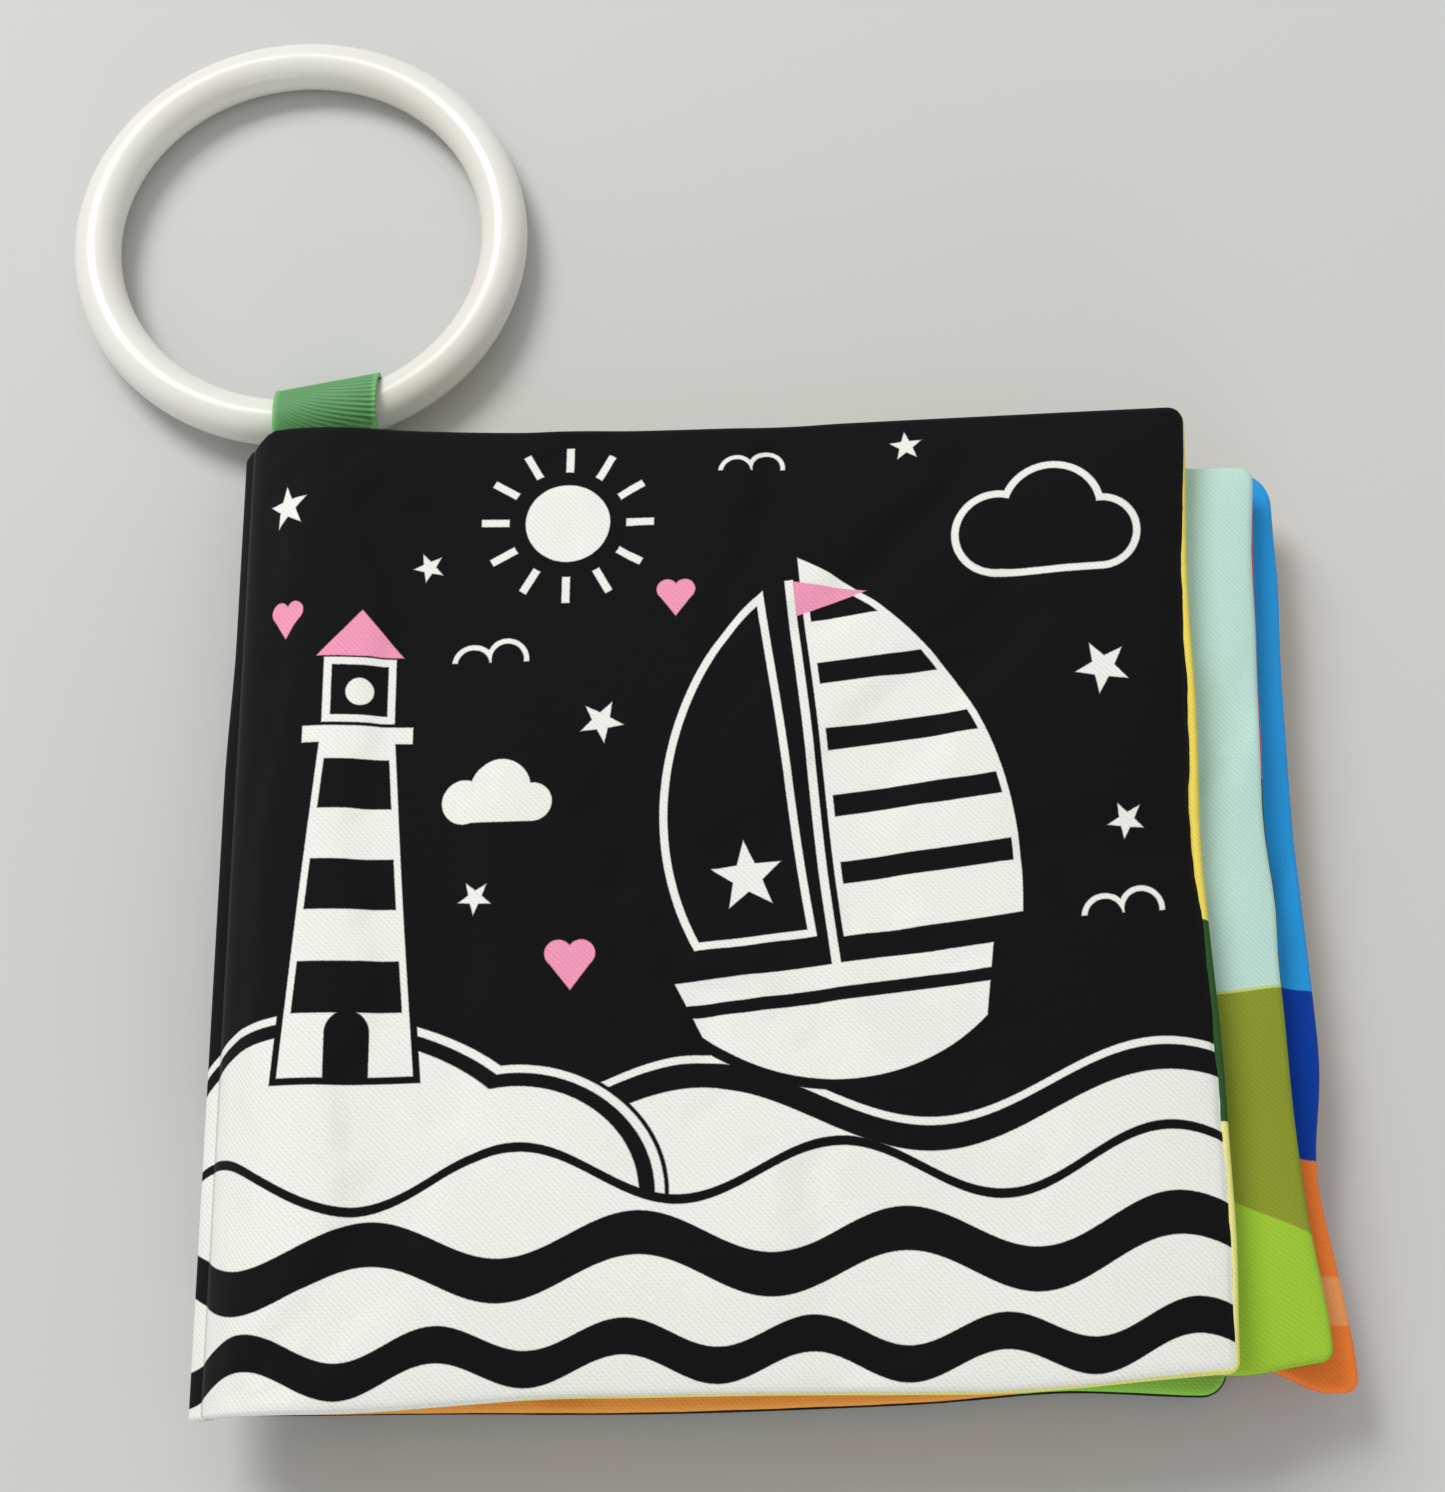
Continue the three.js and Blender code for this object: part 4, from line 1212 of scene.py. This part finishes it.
# Where each fold meets its leaves, seen from the stitch line, and how deep it lies behind that line at
# the foot and at the head of the spine
OUTER_FOLD = ((0.16, 1.66), (1.4, 0.95))
INNER_FOLD = ((1.05, 1.2), (0.55, 0.55))
TUCK_ANGLE = 26
TUCK_POINTS = 6
DEPTH_CHANGE = 0.64
DEPTH_FADE = 0.16
FOLD_KNEE = 0.27
FOLD_POINTS = 14
FOLD_STEP = 0.45
GROOVE_HEIGHT = 0.3
GROOVE_DEPTH = 0.08
STITCH_PULL = 0.06
# How far each spine thread lies to the right of its fold's deepest line, and above the stitch line
NEEDLE = (0.08, -0.5)
BOBBIN = (0.46, 0)
SPINE_STITCH_POINTS = 12
SPINE_DIP_POWER = 0.35
SPINE_DIPPED_SHARE = 0.3
SPINE_DIP = 0.12
FLAT_THREAD_SHARE = 0.55


def fold_depth(depths, share):
    return lerp(*depths, soft_step((share - DEPTH_CHANGE) / DEPTH_FADE))


def add_fold(name, leaf, fold, material):
    """A strip of cloth bent round behind the stitch line, tucked in at both ends, drawn in by stitches."""
    (start_x, start_z), depths = fold
    share = np.linspace(0, 1, int(PAGE_HEIGHT / FOLD_STEP))[:, None]
    deep = fold_depth(depths, share)
    knee = start_z * FOLD_KNEE
    t = np.linspace(0, 1, FOLD_POINTS)
    tuck = math.atan2(start_z, start_x) - np.radians(np.linspace(TUCK_ANGLE, 0, TUCK_POINTS))[:-1]
    radius = math.hypot(start_x, start_z) + np.zeros_like(share)
    x = np.concatenate([radius * np.cos(tuck),
                        bezier(t, (start_x, lerp(start_x, -deep, 0.5), -deep, -deep))], 1)
    z = np.concatenate([radius * np.sin(tuck),
                        bezier(t, (start_z, lerp(start_z, knee, 0.5), knee, 0)) + np.zeros_like(share)], 1)
    x = np.concatenate([x, x[:, -2::-1]], 1)
    z = np.concatenate([z, -z[:, -2::-1]], 1)
    y = lerp(leaf_bottom(leaf, x), leaf_top(leaf, x), share)
    along = np.stack([np.gradient(x, axis=1), np.gradient(z, axis=1)])
    steps = np.hypot(*along)
    away = np.stack([along[1], -along[0]]) / steps
    loose = 1 - np.abs(np.sin(np.pi * (y - PAGE_BOTTOM) / STITCH))
    groove = (GROOVE_DEPTH + STITCH_PULL * loose) * bell((z - NEEDLE[1]) / GROOVE_HEIGHT)
    grids = [np.stack([SPINE_X + x - away[0] * under, y, STITCH_HEIGHT + z - away[1] * under], -1)
             for under in (groove, CLOTH)]
    piece = closed_slab(name + "_roll", *grids, material)
    gone = np.cumsum(steps, axis=1)
    page_x = LEAF_START - gone + gone[:, len(tuck):len(tuck) + 1]
    flat = np.stack([page_x, share * leaf["tall"] + np.zeros_like(y), np.zeros_like(y)], -1).reshape(-1, 3)
    store(piece, "page", np.concatenate([flat, flat]))
    stand_in(piece, "back_cover", name)


def add_spine_thread(name, leaf, fold, beside):
    bottom = float(leaf_bottom(leaf, 0)) + CORNER_RADIUS
    top = float(leaf_top(leaf, 0)) - CORNER_RADIUS
    count = round((top - bottom) / STITCH)
    share = np.linspace(0, 1, count * SPINE_STITCH_POINTS + 1)
    dip = np.abs(np.sin(np.pi * share * count)) ** SPINE_DIP_POWER
    radius = (THREAD / 2 * lerp(SPINE_DIPPED_SHARE, 1, dip))[:, None]
    right = beside[0] + SPINE_DIP * (1 - dip) - fold_depth(fold[1], share)
    middles = np.stack([SPINE_X + right, lerp(bottom, top, share),
                        np.full_like(share, STITCH_HEIGHT + beside[1])], -1)
    across = np.array([[FLAT_THREAD_SHARE, 0, 0]]) * radius
    up = np.array([[0, 0, -1]]) * radius
    piece = tube(name + "_stitches", middles, across, up, thread_material, sides=8)
    stand_in(piece, "back_cover", name)


add_fold("outer_spread_spine_fold", LEAVES[3], OUTER_FOLD,
         printed_cloth("outer_fold_cloth", picture_front_cover))
add_fold("inner_spread_spine_fold", LEAVES[2], INNER_FOLD,
         printed_cloth("inner_fold_cloth", picture_leaf_2_front))
add_spine_thread("spine_needle_thread", LEAVES[3], OUTER_FOLD, NEEDLE)
add_spine_thread("spine_bobbin_thread", LEAVES[2], INNER_FOLD, BOBBIN)


# Ring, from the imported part

RING_BAR = 5.6
RING_STEPS = 240
RING_SIDES = 56
# The mould's parting line round the ring, and the mark where the plastic ran in
PARTING_HEIGHT = 0.03
PARTING_WIDTH = 0.16
GATE_HEIGHT = 0.16
GATE_ANGLE = 176
GATE_WIDTH = 0.02
GATE_SIDE = 0.94


def node_box(node):
    low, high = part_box(node)
    return np.array(low) / MM, np.array(high) / MM


def add_ring():
    low, high = node_box("ring")
    radius = (high[0] - low[0] - RING_BAR) / 2
    tilt = math.asin((high[2] - RING_BAR) / (2 * radius))
    turn = np.linspace(0, 2 * np.pi, RING_STEPS, endpoint=False)[:, None]
    section = np.linspace(0, 2 * np.pi, RING_SIDES, endpoint=False)[None, :]
    parting = PARTING_HEIGHT * (bell(np.sin(section) / PARTING_WIDTH) - 1)
    gate = GATE_HEIGHT * bell((turn - math.radians(GATE_ANGLE)) / GATE_WIDTH)
    gate = gate * (np.cos(section) > GATE_SIDE)
    bar = RING_BAR / 2 + parting + gate
    out = radius + bar * np.cos(section)
    flat = np.stack([out * np.cos(turn), out * np.sin(turn), bar * np.sin(section)], -1)
    points = flat.reshape(-1, 3) @ np.array(Euler((-tilt, 0, 0)).to_matrix()).T + (low + high) / 2
    index = numbered((RING_STEPS, RING_SIDES))
    around, over = np.roll(index, -1, 0), np.roll(index, -1, 1)
    faces = np.stack([index, around, np.roll(around, -1, 1), over], -1).reshape(-1, 4).tolist()
    piece = make_object("ring_moulding", points, faces, ring_material())
    stand_in(piece, "ring", "ring")


# Ribbon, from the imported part

RIBBON_WIDTH = 12
RIBBON_THICKNESS = 0.45
RIBBON_FROM_SPINE = 7.3
RIBBON_ENTRY = 0.7
RIBBON_STRIPS = 49
STRAIGHT_POINTS = 20
ROUND_POINTS = 150
RIB_PITCH = 0.52
RIB_HEIGHT = 0.07
# From the left to the right selvedge the ribs lie wider apart and stand higher
RIB_GATHER = (1.22, 0.84)
RIB_STRENGTH = (0.25, 1)
SELVEDGE_HEIGHT = 0.06
SELVEDGE_WIDTH_SHARE = 0.03


def climb_height(leaf, x):
    _, points, _ = leaf["line"]
    return STITCH_HEIGHT + float(np.interp(x, points[:, 0], points[:, 1]))


def ribbon_slice(x, axis_y, axis_z, radius):
    """One slice across the ribbon, in the plane of y and z: over the ring's bar, round it and back."""
    cover = LEAVES[0]
    seam = np.array([float(leaf_top(cover, x)) - RIBBON_ENTRY,
                     climb_height(cover, x) if x < CLIMB_WIDTH else cover["height"]])
    loop = np.array([axis_y, axis_z])
    way = (seam - loop) / np.linalg.norm(seam - loop)
    upright = np.array([way[1], -way[0]])
    ends = []
    for side in (1, -1):
        start = seam + upright * side * RIBBON_THICKNESS / 2
        reach = start - loop
        touch = math.atan2(reach[1], reach[0]) - side * math.acos(radius / np.linalg.norm(reach))
        ends.append((start, touch))
    (over, over_touch), (under, under_touch) = ends
    sweep = (over_touch - under_touch) % (2 * math.pi)
    angle = over_touch - np.linspace(0, sweep, ROUND_POINTS)
    out = np.stack([np.cos(angle), np.sin(angle)], -1)
    round_points = loop + out * radius
    share = np.linspace(0, 1, STRAIGHT_POINTS, endpoint=False)[:, None]
    points = np.concatenate([lerp(over, round_points[0], share), round_points,
                             lerp(under, round_points[-1], share)[::-1]])
    normals = np.concatenate([np.repeat(out[:1], STRAIGHT_POINTS, 0), out,
                              np.repeat(out[-1:], STRAIGHT_POINTS, 0)])
    return points, normals


def add_ribbon():
    low, high = node_box("ribbon_loop")
    joint = next(j for j in frame["record"]["behaviour"]["joints"] if j["name"] == "ring_flop")
    axis_point = np.array(joint["pos_m"]) / MM
    slope = joint["axis"][1] / joint["axis"][0]
    radius = (high[2] - low[2]) / 2 - RIBBON_THICKNESS / 2
    upper, lower, flat = [], [], []
    for strip in np.linspace(0, 1, RIBBON_STRIPS):
        x = RIBBON_FROM_SPINE + RIBBON_WIDTH * (strip - 0.5)
        axis_y = axis_point[1] + (SPINE_X + x - axis_point[0]) * slope
        points, normals = ribbon_slice(x, axis_y, axis_point[2], radius)
        length = lengths_along(points)
        rib = (length - length[-1] / 2) / RIB_PITCH * lerp(*RIB_GATHER, strip)
        relief = RIB_HEIGHT * (np.sin(2 * np.pi * rib) * lerp(*RIB_STRENGTH, strip) - 1)
        relief = relief + SELVEDGE_HEIGHT * bell(min(strip, 1 - strip) / SELVEDGE_WIDTH_SHARE)
        for grid, offset in ((upper, relief + RIBBON_THICKNESS / 2),
                             (lower, np.full(len(points), -RIBBON_THICKNESS / 2))):
            slice_points = points + normals * offset[:, None]
            grid.append(np.column_stack([np.full(len(points), SPINE_X + x), slice_points]))
        flat.append(np.column_stack([np.full(len(rib), strip), rib, np.zeros(len(rib))]))
    piece = closed_slab("ribbon_grosgrain", np.array(lower), np.array(upper), ribbon_material())
    store(piece, "page", np.concatenate([np.array(flat).reshape(-1, 3)] * 2))
    stand_in(piece, "back_cover", "ribbon_loop")


add_ring()
add_ribbon()


# Floor, lights and camera

FLOOR_HALF_WIDTH = 1500


def add_floor():
    material, _, shader = new_material("floor")
    set_inputs(shader, {"Base Color": rgb(205, 205, 201), "Roughness": 0.9, "Specular IOR Level": 0.1})
    half = FLOOR_HALF_WIDTH
    corners = [(-half, -half, 0), (half, -half, 0), (half, half, 0), (-half, half, 0)]
    make_object("floor", corners, [(0, 1, 2, 3)], material)


def add_lamp(name, place, size, power, tall=None, shine=1.0):
    light = bpy.data.lights.new(name, "AREA")
    light.shape = "RECTANGLE" if tall else "DISK"
    light.size = size
    if tall:
        light.size_y = tall
    light.energy = power
    light.specular_factor = shine
    lamp = add_object(name, light)
    lamp.location = place
    lamp.rotation_mode = "QUATERNION"
    lamp.rotation_quaternion = (-Vector(place)).to_track_quat("-Z", "Y")


def add_world(colour, strength):
    world = bpy.data.worlds.new("studio")
    world.use_nodes = True
    set_inputs(world.node_tree.nodes["Background"], {"Color": colour, "Strength": strength})
    bpy.context.scene.world = world


# The photograph is 1445 by 1492 pixels, and the camera's focal length is given in them.
PHOTO_LONG_SIDE = 1492
FOCAL_PIXELS = 2450
SENSOR = 36
CAMERA_PLACE = (0.09, -65.38, 269.22)
CAMERA_PITCH = 17.52
CAMERA_ROLL = -0.41
NEAREST = 0.01


def add_camera():
    camera_data = bpy.data.cameras.new("photo_view")
    camera_data.sensor_width = SENSOR
    camera_data.lens = SENSOR * FOCAL_PIXELS / PHOTO_LONG_SIDE
    camera_data.clip_start = NEAREST
    camera = add_object("photo_view", camera_data)
    camera.location = [v * MM for v in CAMERA_PLACE]
    pitch = Euler((math.radians(CAMERA_PITCH), 0, 0)).to_matrix()
    roll = Euler((0, 0, math.radians(CAMERA_ROLL))).to_matrix()
    camera.rotation_euler = (pitch @ roll).to_euler()
    bpy.context.scene.camera = camera


add_floor()
add_lamp("key", place=(-0.45, 0.55, 0.8), size=0.5, power=6.6, shine=0.25)
add_lamp("strip", place=(-0.1, 0.5, 0.75), size=0.7, power=0.6, tall=0.03)
add_lamp("fill", place=(0.1, -0.75, 0.22), size=0.5, power=1.25, shine=0.0)
add_world(colour=(0.95, 0.97, 1, 1), strength=0.52)
add_camera()
bpy.context.scene.view_settings.view_transform = "Standard"
